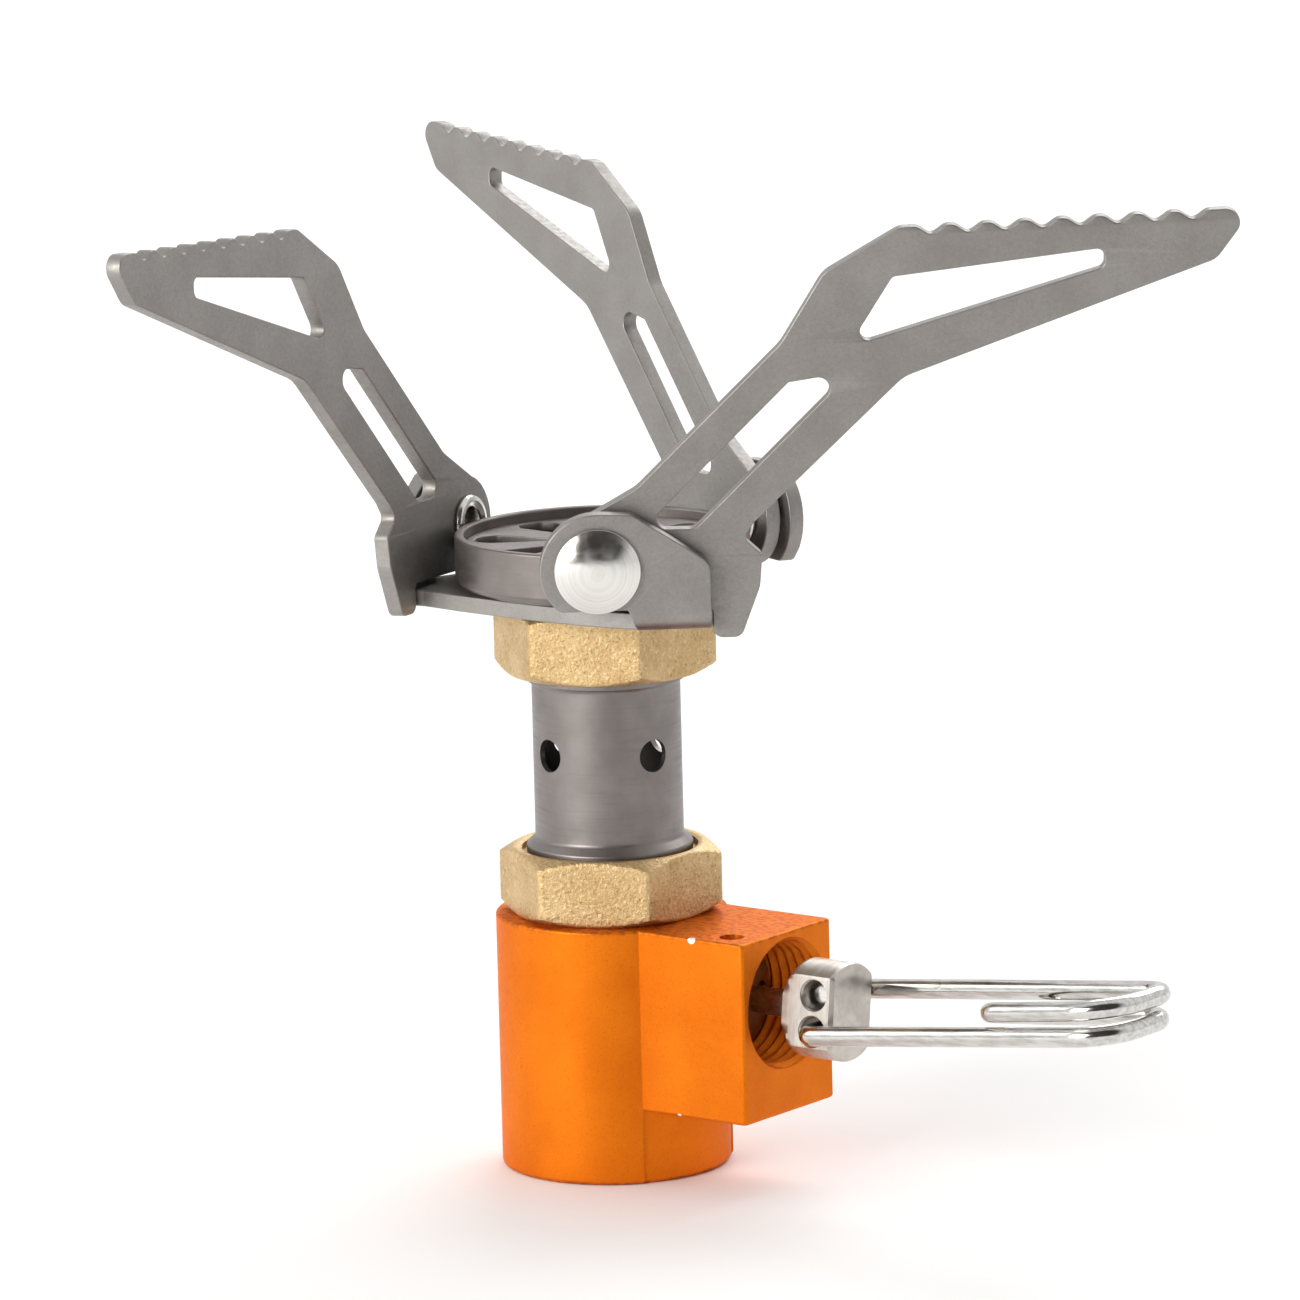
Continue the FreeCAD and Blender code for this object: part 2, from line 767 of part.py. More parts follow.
def mixing_tube():
    body = make_body("mixing_tube")
    wall = d.tube_wall
    revolve(
        body,
        "tube",
        [
            (d.tube_flare_radius - wall, d.tube_flare_bottom),
            (d.tube_flare_radius, d.tube_flare_bottom),
            (d.tube_flare_radius, d.tube_flare_level),
            (d.tube_radius, d.tube_flare_top),
            (d.tube_radius, d.tube_lip_bottom),
            (d.tube_lip_radius, d.tube_lip_level),
            (d.tube_lip_radius, d.tube_top),
            (d.tube_lip_radius - wall, d.tube_top),
            (d.tube_inner_radius, d.tube_lip_bottom),
            (d.tube_inner_radius, d.tube_flare_top),
        ],
    )
    hole = new_sketch(body, "air_hole_outline", "YZ_Plane")
    circle(hole, 0, d.air_hole_height, d.air_hole_radius)
    cut = pocket(body, hole, "air_hole", d.tube_radius + 1, reverse=True)
    ring = body.newObject("PartDesign::PolarPattern", "air_holes")
    ring.Originals = [cut]
    axis = [feature for feature in body.Origin.OriginFeatures if feature.Role == "Z_Axis"][0]
    ring.Axis = (axis, [""])
    ring.Angle = 360
    ring.Occurrences = AIR_HOLES
    body.Tip = ring
    body.Placement = Placement(Vector(0, 0, 0), Rotation(Vector(0, 0, 1), FIRST_AIR_HOLE))
    return body


def burner_nut():
    body = make_body("burner_nut")
    hexagon(body, "upper_hex", d.upper_hex_bottom, d.plate_bottom, HEX_TURN_UPPER)
    revolve(
        body,
        "nut_bore",
        [
            (0, d.upper_hex_bottom),
            (d.neck_inner_radius, d.upper_hex_bottom),
            (d.neck_inner_radius, d.neck_bottom),
            (d.nut_thread_radius, d.neck_bottom),
            (d.nut_thread_radius, d.plate_bottom),
            (0, d.plate_bottom),
        ],
        cut=True,
    )
    return body


def burner_head():
    body = make_body("burner_head")
    wall = d.head_wall
    plate_under = d.flame_plate_top - d.flame_plate_thickness
    revolve(
        body,
        "cup",
        [
            (d.neck_inner_radius, d.neck_bottom),
            (d.neck_radius, d.neck_bottom),
            (d.neck_radius, d.head_bottom),
            (d.head_radius - 0.35, d.head_bottom),
            (d.head_radius, d.head_bottom + 0.35),
            (d.head_radius, d.head_top - 0.25),
            (d.head_radius - 0.25, d.head_top),
            (d.head_radius - wall, d.head_top),
            (d.head_radius - wall, plate_under),
            (d.head_radius - wall - d.head_ledge_width, plate_under),
            (d.head_radius - wall - d.head_ledge_width, d.head_bottom + d.head_floor),
            (d.neck_inner_radius, d.head_bottom + d.head_floor),
        ],
    )
    return body


def burner_plate():
    body = make_body("burner_plate")
    plate_under = d.flame_plate_top - d.flame_plate_thickness
    disc = new_sketch(body, "plate_outline", "XY_Plane", plate_under)
    circle(disc, 0, 0, d.head_radius - d.head_wall)
    pad(body, disc, "plate", d.flame_plate_thickness)
    slot = new_sketch(body, "slot_outline", "XY_Plane", plate_under)
    outline(
        slot,
        [
            (d.slot_inner, -d.slot_inner_half),
            (d.slot_outer, -d.slot_outer_half),
            (d.slot_outer, d.slot_outer_half),
            (d.slot_inner, d.slot_inner_half),
        ],
    )
    cut = pocket(body, slot, "slot", d.flame_plate_thickness, reverse=True)
    ring = body.newObject("PartDesign::PolarPattern", "slots")
    ring.Originals = [cut]
    axis = [feature for feature in body.Origin.OriginFeatures if feature.Role == "Z_Axis"][0]
    ring.Axis = (axis, [""])
    ring.Angle = 360
    ring.Occurrences = FLAME_SLOTS
    body.Tip = ring
    body.Placement = Placement(Vector(0, 0, 0), Rotation(Vector(0, 0, 1), FIRST_FLAME_SLOT))
    return body


def bracket_plate():
    """The flat of the bracket: a rounded triangle with a tab under each ear."""
    body = make_body("bracket_plate")
    sketch = new_sketch(body, "bracket_outline", "XY_Plane", d.plate_bottom)
    points = []
    arcs = {}
    left = (d.ear_left + HINGE_ALONG).value
    right = TAB_STOP_EDGE + HINGE_ALONG
    for letter in ("a", "c", "b"):
        azimuth = math.radians(ARM_AZIMUTH[letter])
        for out, along in (
            (TAB_NOTCH_START, left),
            (TAB_OUTER, left),
            (TAB_OUTER, right),
            (TAB_STOP_START, right),
        ):
            x = out * math.cos(azimuth) - along * math.sin(azimuth)
            y = out * math.sin(azimuth) + along * math.cos(azimuth)
            points.append((x, y))
        arcs[len(points) - 1] = d.plate_edge_radius
    outline(sketch, points, arcs)
    circle(sketch, 0, 0, d.plate_hole_radius)
    pad(body, sketch, "flat", d.plate_thickness)
    return body


def ear(letter):
    """One ear of the bracket, standing on its tab, with the rivet hole."""
    body = make_body("ear_" + letter)
    face = d.arm_thickness + d.washer_thickness
    sketch = new_sketch(body, "ear_%s_outline" % letter, "XZ_Plane", face)
    foot = (d.plate_bottom - HINGE_HEIGHT).value / math.cos(math.radians(ARM_LEAN)) + 0.08
    top = d.ear_radius
    outline(
        sketch,
        [
            (d.ear_left, foot),
            (d.ear_right, foot),
            (d.ear_right, 0),
            (d.ear_shoulder_u, d.ear_shoulder_v),
            (d.ear_top_end, top),
            (0, top),
            (0, 0),
        ],
    )
    pad(body, sketch, "ear_%s_web" % letter, d.ear_thickness)
    boss = new_sketch(body, "ear_%s_round_outline" % letter, "XZ_Plane", face)
    circle(boss, 0, 0, d.ear_radius)
    pad(body, boss, "ear_%s_round" % letter, d.ear_thickness)
    relief = new_sketch(body, "ear_%s_relief_outline" % letter, "XZ_Plane", face)
    outline(
        relief,
        [
            (-d.ear_radius, d.ear_round_bottom),
            (d.ear_left, d.ear_round_bottom),
            (d.ear_left, -d.ear_radius - 0.1),
            (-d.ear_radius, -d.ear_radius - 0.1),
        ],
    )
    pocket(body, relief, "ear_%s_relief" % letter, d.ear_thickness, reverse=True)
    hole = new_sketch(body, "ear_%s_hole_outline" % letter, "XZ_Plane", face)
    circle(hole, 0, 0, d.rivet_radius)
    pocket(body, hole, "ear_%s_hole" % letter, d.ear_thickness, reverse=True)
    body.Placement = ear_frame(letter)
    return body


def support_bracket():
    fuse = doc.addObject("Part::MultiFuse", "support_bracket")
    fuse.Label = "support_bracket"
    fuse.Shapes = [bracket_plate()] + [ear(letter) for letter in "abc"]
    return fuse


def outline_points(table):
    return [(getattr(d, name + "_u"), getattr(d, name + "_v")) for name in table]


def round_corners(body, prefix, table):
    """Rounds the corners of an arm outline, one fillet for each radius."""
    groups = {}
    for name, (_, _, corner) in table.items():
        if corner:
            groups.setdefault(corner, []).append(name)
    for number, (corner, names) in enumerate(sorted(groups.items())):
        points = [(getattr(d, name + "_u").value, getattr(d, name + "_v").value) for name in names]
        label = "%s_round_%d" % (prefix, number)
        round_edges(body, label, points, 1, getattr(d, names[0] + "_corner"))


def arm(letter):
    """A pot arm: flat sheet with a grooved top edge, two windows, a round hub and a stop heel."""
    label = "arm_" + letter
    body = make_body(label)
    blank = new_sketch(body, label + "_outline", "XZ_Plane")
    outline(blank, outline_points(ARM_OUTLINE))
    pad(body, blank, label + "_blank", d.arm_thickness)
    round_corners(body, label, ARM_OUTLINE)
    hub = new_sketch(body, label + "_hub_outline", "XZ_Plane")
    circle(hub, 0, 0, d.arm_hub_radius)
    pad(body, hub, label + "_hub", d.arm_thickness)
    for name, table in (("window", ARM_WINDOW), ("slot", ARM_SLOT)):
        opening = new_sketch(body, "%s_%s_outline" % (label, name), "XZ_Plane")
        outline(opening, outline_points(table))
        pocket(body, opening, "%s_%s" % (label, name), d.arm_thickness, reverse=True)
        round_corners(body, "%s_%s" % (label, name), table)
    hole = new_sketch(body, label + "_hole_outline", "XZ_Plane")
    circle(hole, 0, 0, d.hinge_hole_radius)
    pocket(body, hole, label + "_hole", d.arm_thickness, reverse=True)
    grooves = new_sketch(body, label + "_grooves_outline", "XZ_Plane")
    rise = (d.tip_top_v - d.crest_v).value / (d.tip_top_u - d.crest_u).value
    for i in range(GROOVE_COUNT):
        along = GROOVE_FIRST_U + GROOVE_PITCH * i
        top = d.crest_v.value + rise * (along - d.crest_u.value)
        circle(grooves, along, top + GROOVE_RADIUS - GROOVE_DEPTH, GROOVE_RADIUS)
    pocket(body, grooves, label + "_grooves", d.arm_thickness, reverse=True)
    fold = Placement(Vector(0, 0, 0), Rotation(Vector(0, -1, 0), ARM_REST_FOLD[letter]))
    body.Placement = ear_frame(letter).multiply(fold)
    return body


def rivet(letter):
    """A tubular rivet: domed head outside the ear, rolled tail inside the arm."""
    body = make_body("rivet_" + letter)
    inner = d.arm_thickness + d.washer_thickness + d.ear_thickness
    rim = d.rivet_rim
    sketch = new_sketch(body, "rivet_%s_profile" % letter, "XY_Plane")
    head = d.rivet_head_radius
    outline(
        sketch,
        [
            (0, -(inner + d.rivet_head_height)),
            (head * 0.45, -(inner + d.rivet_head_height * 0.94)),
            (head * 0.8, -(inner + d.rivet_head_height * 0.7)),
            (head, -(inner + rim)),
            (head, -inner),
            (d.rivet_radius, -inner),
            (d.rivet_radius, 0),
            (d.rivet_tail_radius, 0),
            (d.rivet_tail_radius, d.rivet_tail_length * 0.6),
            (d.rivet_tail_radius - 0.35, d.rivet_tail_length),
            (d.rivet_bore_radius, d.rivet_tail_length),
            (d.rivet_bore_radius, -d.rivet_bore_depth),
            (0, -d.rivet_bore_depth),
        ],
    )
    turned = body.newObject("PartDesign::Revolution", "rivet_%s_shape" % letter)
    turned.Profile = sketch
    turned.ReferenceAxis = (sketch, ["V_Axis"])
    turned.Angle = 360
    body.Placement = ear_frame(letter)
    return body


def washer(letter):
    body = make_body("washer_" + letter)
    sketch = new_sketch(body, "washer_%s_outline" % letter, "XZ_Plane", d.arm_thickness)
    circle(sketch, 0, 0, d.washer_radius)
    circle(sketch, 0, 0, d.rivet_radius)
    pad(body, sketch, "washer_%s_ring" % letter, d.washer_thickness)
    body.Placement = ear_frame(letter)
    return body


nodes = [
    valve_body(),
    canister_seal(),
    actuator_pin(),
    packing_gland(),
    spindle_seal(),
    needle_spindle(),
    spindle_hub(),
    handle(),
    jet_holder(),
    jet_filter(),
    jet(),
    mixing_tube(),
    burner_nut(),
    burner_head(),
    burner_plate(),
    support_bracket(),
]
for hinge in "abc":
    nodes += [arm(hinge), rivet(hinge), washer(hinge)]
doc.recompute()

for item in doc.Objects:
    if "Invalid" in item.State or "Error" in item.State:
        sys.exit("object %s is in state %s" % (item.Name, item.State))
for node in nodes:
    if node.Shape.isNull() or not node.Shape.isValid() or not node.Shape.Solids:
        sys.exit("sub-part %s has no valid shape" % node.Label)
for node in nodes:
    node.Shape.exportStep("parts/%s.step" % node.Label)
    print(node.Label, len(node.Shape.Solids), "solid,", round(node.Shape.Volume, 2), "mm3")
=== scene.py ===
import json
import math

import bmesh
import bpy
from mathutils import Matrix, Vector


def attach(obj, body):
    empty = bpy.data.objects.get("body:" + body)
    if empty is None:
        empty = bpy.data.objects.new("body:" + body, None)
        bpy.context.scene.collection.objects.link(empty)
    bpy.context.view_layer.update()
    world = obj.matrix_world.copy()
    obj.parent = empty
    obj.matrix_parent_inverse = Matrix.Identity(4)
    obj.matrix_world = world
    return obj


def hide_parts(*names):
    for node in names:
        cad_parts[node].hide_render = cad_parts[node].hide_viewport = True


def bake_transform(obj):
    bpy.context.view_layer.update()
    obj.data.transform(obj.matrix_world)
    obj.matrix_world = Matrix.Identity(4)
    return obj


# Looks of a folding canister stove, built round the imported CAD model.
# Lengths are millimetres until a mesh is finished, and MM turns them into metres. The lights, the
# floor and the joint records are in metres. +Z is up along the burner, and +X runs along the valve
# spindle to the handle.

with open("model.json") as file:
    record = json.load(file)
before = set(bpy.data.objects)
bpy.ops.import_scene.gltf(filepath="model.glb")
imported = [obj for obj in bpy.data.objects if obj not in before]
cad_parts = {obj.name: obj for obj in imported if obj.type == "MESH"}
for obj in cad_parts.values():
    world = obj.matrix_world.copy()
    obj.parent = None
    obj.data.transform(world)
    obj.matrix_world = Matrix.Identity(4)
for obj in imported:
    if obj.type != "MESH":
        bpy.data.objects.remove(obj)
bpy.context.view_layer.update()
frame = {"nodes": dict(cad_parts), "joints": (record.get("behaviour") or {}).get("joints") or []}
scene = bpy.context.scene
MM = 0.001


# ---------------------------------------------------------------- camera, floor and light

CAMERA_AZIMUTH, CAMERA_ELEVATION, CAMERA_ROLL = 37.377, 10.767, -1.453
CAMERA_DISTANCE = 795.78
CAMERA_AIM_RIGHT, CAMERA_AIM_HEIGHT = 3.861, 44.722
LENS, SENSOR = 256.85, 36


def make_camera():
    """A long lens, a little above the burner and to the handle's side of the front."""
    azimuth = math.radians(CAMERA_AZIMUTH)
    elevation = math.radians(CAMERA_ELEVATION)
    roll = math.radians(CAMERA_ROLL)
    back = Vector((
        math.sin(azimuth) * math.cos(elevation),
        -math.cos(azimuth) * math.cos(elevation),
        math.sin(elevation),
    ))
    right = Vector((math.cos(azimuth), math.sin(azimuth), 0))
    up = back.cross(right)
    target = right * CAMERA_AIM_RIGHT + Vector((0, 0, CAMERA_AIM_HEIGHT))
    side = right * math.cos(roll) + up * math.sin(roll)
    top = up * math.cos(roll) - right * math.sin(roll)
    data = bpy.data.cameras.new("camera")
    data.lens = LENS
    data.sensor_width = SENSOR
    data.clip_end = 50
    camera = bpy.data.objects.new("camera", data)
    scene.collection.objects.link(camera)
    rotation = Matrix((side, top, back)).transposed().to_4x4()
    camera.matrix_world = Matrix.Translation((target + back * CAMERA_DISTANCE) * MM) @ rotation
    scene.camera = camera


FLOOR_HALF_WIDTH = 6.0
FLOOR_GAP = 0.00002


def make_floor():
    """A wide pale sheet, a hair below the base, with slightly cloudy paper."""
    sheet = bmesh.new()
    bmesh.ops.create_grid(sheet, x_segments=24, y_segments=24, size=FLOOR_HALF_WIDTH)
    mesh = bpy.data.meshes.new("floor")
    sheet.to_mesh(mesh)
    sheet.free()
    floor = bpy.data.objects.new("floor", mesh)
    scene.collection.objects.link(floor)
    floor.location.z = -FLOOR_GAP
    paper = bpy.data.materials.new("floor_paper")
    paper.use_nodes = True
    tree = paper.node_tree
    shader = tree.nodes["Principled BSDF"]
    shader.inputs["Roughness"].default_value = 0.75
    shader.inputs["Specular IOR Level"].default_value = 0.2
    cloud = tree.nodes.new("ShaderNodeTexNoise")
    cloud.inputs["Scale"].default_value = 3.0
    tint = tree.nodes.new("ShaderNodeValToRGB")
    tint.color_ramp.elements[0].color = (0.93, 0.93, 0.93, 1)
    tint.color_ramp.elements[1].color = (0.95, 0.95, 0.95, 1)
    tree.links.new(cloud.outputs["Fac"], tint.inputs["Fac"])
    tree.links.new(tint.outputs["Color"], shader.inputs["Base Color"])
    mesh.materials.append(paper)


def softbox(name, place, aim, width, height, power, color=(1, 1, 1)):
    """A rectangular light at a place, facing aim."""
    data = bpy.data.lights.new(name, "AREA")
    data.shape = "RECTANGLE"
    data.size = width
    data.size_y = height
    data.energy = power
    data.color = color
    lamp = bpy.data.objects.new(name, data)
    scene.collection.objects.link(lamp)
    direction = Vector(place) - Vector(aim)
    lamp.location = place
    lamp.rotation_euler = direction.to_track_quat("Z", "Y").to_euler()


DARK_SIDE = Vector((0.52, -0.70, 0.46)).normalized()


def make_light():
    """A pale room with one dark side, which the polished steel shows, and three soft boxes."""
    world = bpy.data.worlds.new("studio")
    scene.world = world
    world.use_nodes = True
    tree = world.node_tree
    ground = tree.nodes["Background"]
    ground.inputs["Strength"].default_value = 1.0
    place = tree.nodes.new("ShaderNodeTexCoord")
    toward = tree.nodes.new("ShaderNodeVectorMath")
    toward.operation = "DOT_PRODUCT"
    toward.inputs[1].default_value = DARK_SIDE
    tree.links.new(place.outputs["Generated"], toward.inputs[0])
    room = tree.nodes.new("ShaderNodeValToRGB")
    ramp = room.color_ramp
    ramp.elements[0].position = 0.66
    ramp.elements[0].color = (0.86, 0.86, 0.86, 1)
    ramp.elements[1].position = 0.82
    ramp.elements[1].color = (0.055, 0.050, 0.048, 1)
    tree.links.new(toward.outputs["Value"], room.inputs["Fac"])
    tree.links.new(room.outputs["Color"], ground.inputs["Color"])
    middle = (0.0, 0.0, 0.045)
    softbox("key_front", (-0.12, -0.92, 0.36), middle, 0.6, 0.45, 7.2, (1.0, 0.985, 0.95))
    softbox("key_left", (-0.75, -0.55, 0.55), middle, 0.45, 0.6, 1.0)
    softbox("back_light", (-0.2, 0.8, 0.7), middle, 0.8, 0.5, 5.0)
    scene.view_settings.view_transform = "Standard"
    scene.view_settings.look = "None"


make_camera()
make_floor()
make_light()


# ---------------------------------------------------------------- materials

class Finish:
    """A procedural material under construction: noise in the piece's own space, in millimetres."""

    def __init__(self, name, metallic, roughness):
        self.material = bpy.data.materials.new(name)
        self.material.use_nodes = True
        self.tree = self.material.node_tree
        self.shader = self.tree.nodes["Principled BSDF"]
        self.shader.inputs["Metallic"].default_value = metallic
        self.shader.inputs["Roughness"].default_value = roughness
        coordinates = self.tree.nodes.new("ShaderNodeTexCoord")
        self.place = self.vector("MULTIPLY", coordinates.outputs["Object"], (1000, 1000, 1000))

    def vector(self, operation, first, second):
        """Vector maths on a socket and a fixed vector."""
        node = self.tree.nodes.new("ShaderNodeVectorMath")
        node.operation = operation
        self.tree.links.new(first, node.inputs[0])
        node.inputs[1].default_value = second
        return node.outputs["Value" if operation == "LENGTH" else "Vector"]

    def number(self, operation, first, second):
        """Maths on two values, each a socket or a fixed number."""
        node = self.tree.nodes.new("ShaderNodeMath")
        node.operation = operation
        for socket, value in zip(node.inputs, (first, second)):
            if isinstance(value, (int, float)):
                socket.default_value = value
            else:
                self.tree.links.new(value, socket)
        return node.outputs[0]

    def height(self):
        """The Z coordinate of the place."""
        node = self.tree.nodes.new("ShaderNodeSeparateXYZ")
        self.tree.links.new(self.place, node.inputs[0])
        return node.outputs["Z"]

    def from_axis(self):
        """Distance of the place from the Z axis."""
        flat = self.vector("MULTIPLY", self.place, (1, 1, 0))
        return self.vector("LENGTH", flat, (0, 0, 0))

    def noise(self, per_mm, detail=2.0, stretch=(1, 1, 1), rough=0.5):
        node = self.tree.nodes.new("ShaderNodeTexNoise")
        node.inputs["Scale"].default_value = per_mm
        node.inputs["Detail"].default_value = detail
        node.inputs["Roughness"].default_value = rough
        self.tree.links.new(self.vector("MULTIPLY", self.place, stretch), node.inputs["Vector"])
        return node.outputs["Fac"]

    def band(self, value, low, high, low_out=0.0, high_out=1.0):
        """Turns value from low to high into low_out to high_out, and holds it outside."""
        node = self.tree.nodes.new("ShaderNodeMapRange")
        node.interpolation_type = "SMOOTHSTEP"
        self.tree.links.new(value, node.inputs["Value"])
        limits = {"From Min": low, "From Max": high, "To Min": low_out, "To Max": high_out}
        for name, number in limits.items():
            node.inputs[name].default_value = number
        return node.outputs["Result"]

    def blend(self, factor, first, second):
        """A colour between two colours or sockets."""
        node = self.tree.nodes.new("ShaderNodeMix")
        node.data_type = "RGBA"
        self.tree.links.new(factor, node.inputs["Factor"])
        for socket, value in ((node.inputs["A"], first), (node.inputs["B"], second)):
            if isinstance(value, tuple):
                socket.default_value = (*value, 1)
            else:
                self.tree.links.new(value, socket)
        return node.outputs["Result"]

    def colour(self, socket):
        self.tree.links.new(socket, self.shader.inputs["Base Color"])

    def roughness(self, noise, smooth, rough):
        """Roughness that drifts between two values with a noise."""
        socket = self.band(noise, 0.3, 0.7, smooth, rough)
        self.tree.links.new(socket, self.shader.inputs["Roughness"])

    def mottle(self, noise, first, second):
        """A colour that drifts between two colours with a noise."""
        return self.blend(self.band(noise, 0.3, 0.7), first, second)

    def metallic(self, socket):
        self.tree.links.new(socket, self.shader.inputs["Metallic"])

    def bump(self, height, depth_mm):
        """Adds relief of a depth in millimetres; calls stack up."""
        node = self.tree.nodes.new("ShaderNodeBump")
        node.inputs["Distance"].default_value = depth_mm * MM
        node.inputs["Strength"].default_value = 1.0
        self.tree.links.new(height, node.inputs["Height"])
        normal = self.shader.inputs["Normal"]
        if normal.is_linked:
            self.tree.links.new(normal.links[0].from_socket, node.inputs["Normal"])
        self.tree.links.new(node.outputs["Normal"], normal)


def blasted_titanium(name, dark, light, bend_reflection=False):
    """Bead-blasted titanium: matt grey, finely grained and a little cloudy; for the bracket, the undersides
    of the bends get a painted brownish reflection of the brass.
    """
    finish = Finish(name, 0.9, 0.5)
    clouds = finish.noise(0.22, 3)
    grain = finish.noise(6.0, 3)
    tone = finish.number("ADD", finish.number("MULTIPLY", clouds, 0.5), finish.number("MULTIPLY", grain, 0.5))
    colour = finish.mottle(tone, dark, light)
    if bend_reflection:
        # Painted reflection: on the bends' undersides, low and far out from the axis, the colour turns brown
        # as if it mirrored the brass below.
        low = finish.band(finish.height(), 49.75, 50.25, 1.0, 0.0)
        away = finish.band(finish.from_axis(), 15.6, 16.4)
        bend = finish.number("MULTIPLY", low, away)
        reflection_patches = finish.band(finish.noise(0.6, 2), 0.3, 0.6, 0.45, 0.75)
        colour = finish.blend(finish.number("MULTIPLY", bend, reflection_patches), colour, (0.160, 0.092, 0.085))
    finish.colour(colour)
    finish.roughness(finish.noise(2.2, 2), 0.43, 0.56)
    finish.bump(grain, 0.012)
    finish.bump(finish.noise(1.3, 3), 0.012)
    return finish.material


def cut_edge(name, colour):
    """The narrow cut edge of the titanium sheet, painted brighter than its faces as a highlight along the
    edges.
    """
    finish = Finish(name, 0.95, 0.36)
    streaks = finish.noise(3.0, 3)
    darker = tuple(c * 0.72 for c in colour)
    # Painted highlight: the edge colour is much lighter than the faces' grey.
    finish.colour(finish.mottle(streaks, darker, colour))
    finish.roughness(finish.noise(1.5, 2), 0.3, 0.48)
    finish.bump(streaks, 0.01)
    return finish.material


def turned_metal(name, dark, light, low_rough, high_rough, metallic=0.92, lines=(0.05, 0.05, 1)):
    """Metal turned on a lathe, with fine lines round its axis."""
    finish = Finish(name, metallic, low_rough)
    rings = finish.noise(5.0, 3, lines, 0.6)
    clouds = finish.noise(0.35, 3)
    colour = finish.mottle(clouds, dark, light)
    colour = finish.blend(finish.band(rings, 0.55, 0.8, 0.0, 0.22), colour, tuple(c * 0.6 for c in dark))
    finish.colour(colour)
    finish.roughness(rings, low_rough, high_rough)
    finish.bump(rings, 0.004)
    finish.bump(finish.noise(5.0, 2), 0.005)
    return finish.material


def blasted_brass(name):
    """Cast and sand-blasted brass: warm, matt and speckled all over, with small painted highlights among the
    speckles.
    """
    finish = Finish(name, 0.88, 0.5)
    speckle = finish.noise(3.4, 4, (1, 1, 1), 0.62)
    clouds = finish.noise(0.3, 3)
    colour = finish.mottle(clouds, (0.56, 0.385, 0.18), (0.66, 0.475, 0.245))
    pits = finish.band(speckle, 0.54, 0.68, 0.0, 0.62)
    colour = finish.blend(pits, colour, (0.27, 0.165, 0.065))
    # Painted highlight: pale golden glints on the low spots of the speckle.
    painted_glints = finish.band(speckle, 0.45, 0.32, 0.0, 0.6)
    colour = finish.blend(painted_glints, colour, (0.80, 0.66, 0.42))
    finish.colour(colour)
    finish.roughness(finish.noise(1.8, 2), 0.40, 0.56)
    finish.bump(speckle, 0.11)
    finish.bump(finish.noise(1.1, 3), 0.05)
    return finish.material


CHIPS = (((13.3, -6.35, 22.1), 0.42), ((7.4, -6.38, 6.55), 0.30), ((11.6, -6.38, 6.5), 0.26))


def anodised_orange(name):
    """Satin orange anodised aluminium with a fine grain, patchy darker brown along its top and bottom rims,
    and a few bare chips.
    """
    finish = Finish(name, 0.62, 0.42)
    finish.shader.inputs["Specular Tint"].default_value = (0.92, 0.52, 0.28, 1)
    grain = finish.noise(6.0, 3, (1, 1, 1), 0.6)
    clouds = finish.noise(0.16, 2)
    colour = finish.mottle(clouds, (0.72, 0.160, 0.0035), (0.80, 0.194, 0.0055))
    colour = finish.blend(finish.band(grain, 0.5, 0.74, 0.0, 0.42), colour, (0.50, 0.090, 0.004))
    # Darker brown in patches over the top rim and top face, and along the base where it meets the floor.
    rim_patches = finish.band(finish.noise(1.9, 3), 0.42, 0.62, 0.0, 0.75)
    rim_darkening = finish.number("MULTIPLY", edge_of_body(finish), rim_patches)
    colour = finish.blend(rim_darkening, colour, (0.36, 0.085, 0.018))
    chips = chips_of_body(finish)
    finish.colour(finish.blend(chips, colour, (0.86, 0.86, 0.86)))
    finish.metallic(finish.band(chips, 0.0, 1.0, 0.62, 0.2))
    finish.roughness(finish.noise(1.6, 2), 0.36, 0.46)
    finish.bump(grain, 0.022)
    finish.bump(finish.noise(1.5, 3), 0.012)
    return finish.material


def edge_of_body(finish):
    """1 along the valve body's top and bottom rims, fading within 0.4 mm."""
    height = finish.height()
    top = finish.band(height, 21.75, 22.15)
    bottom = finish.band(height, 0.45, 0.05)
    return finish.number("MAXIMUM", top, bottom)


def chips_of_body(finish):
    """Small spots of bare metal on the block's near top and bottom edges."""
    total = None
    for centre, size in CHIPS:
        away = finish.vector("SUBTRACT", finish.place, centre)
        distance = finish.vector("LENGTH", away, (0, 0, 0))
        ragged = finish.number("ADD", distance, finish.number("MULTIPLY", finish.noise(3.5, 2), 0.35))
        spot = finish.band(ragged, size + 0.16, size + 0.08)
        total = spot if total is None else finish.number("MAXIMUM", total, spot)
    return total


def bright_steel(name, dark, light, rough, stretch=(1, 1, 1)):
    """Polished stainless steel with faint drawing marks."""
    finish = Finish(name, 1.0, rough[0])
    marks = finish.noise(2.5, 4, stretch, 0.65)
    finish.colour(finish.blend(finish.band(marks, 0.35, 0.7), light, dark))
    finish.roughness(finish.noise(1.2, 3), *rough)
    finish.bump(marks, 0.0025)
    return finish.material


def ringed_steel(name):
    """A polished rivet head, with turned rings about its own Z axis."""
    finish = Finish(name, 1.0, 0.16)
    node = finish.tree.nodes.new("ShaderNodeTexNoise")
    node.noise_dimensions = "1D"
    node.inputs["Scale"].default_value = 3.2
    node.inputs["Detail"].default_value = 3
    finish.tree.links.new(finish.from_axis(), node.inputs["W"])
    rings = node.outputs["Fac"]
    finish.colour(finish.blend(finish.band(rings, 0.35, 0.7), (0.78, 0.765, 0.73), (0.70, 0.68, 0.645)))
    finish.roughness(finish.noise(0.9, 3), 0.14, 0.26)
    finish.bump(rings, 0.0022)
    finish.bump(finish.noise(4.0, 2), 0.0015)
    return finish.material


def black_rubber(name):
    finish = Finish(name, 0.0, 0.55)
    grain = finish.noise(5.0, 3)
    finish.colour(finish.mottle(grain, (0.012, 0.012, 0.012), (0.03, 0.03, 0.03)))
    finish.roughness(grain, 0.45, 0.65)
    finish.bump(grain, 0.01)
    return finish.material


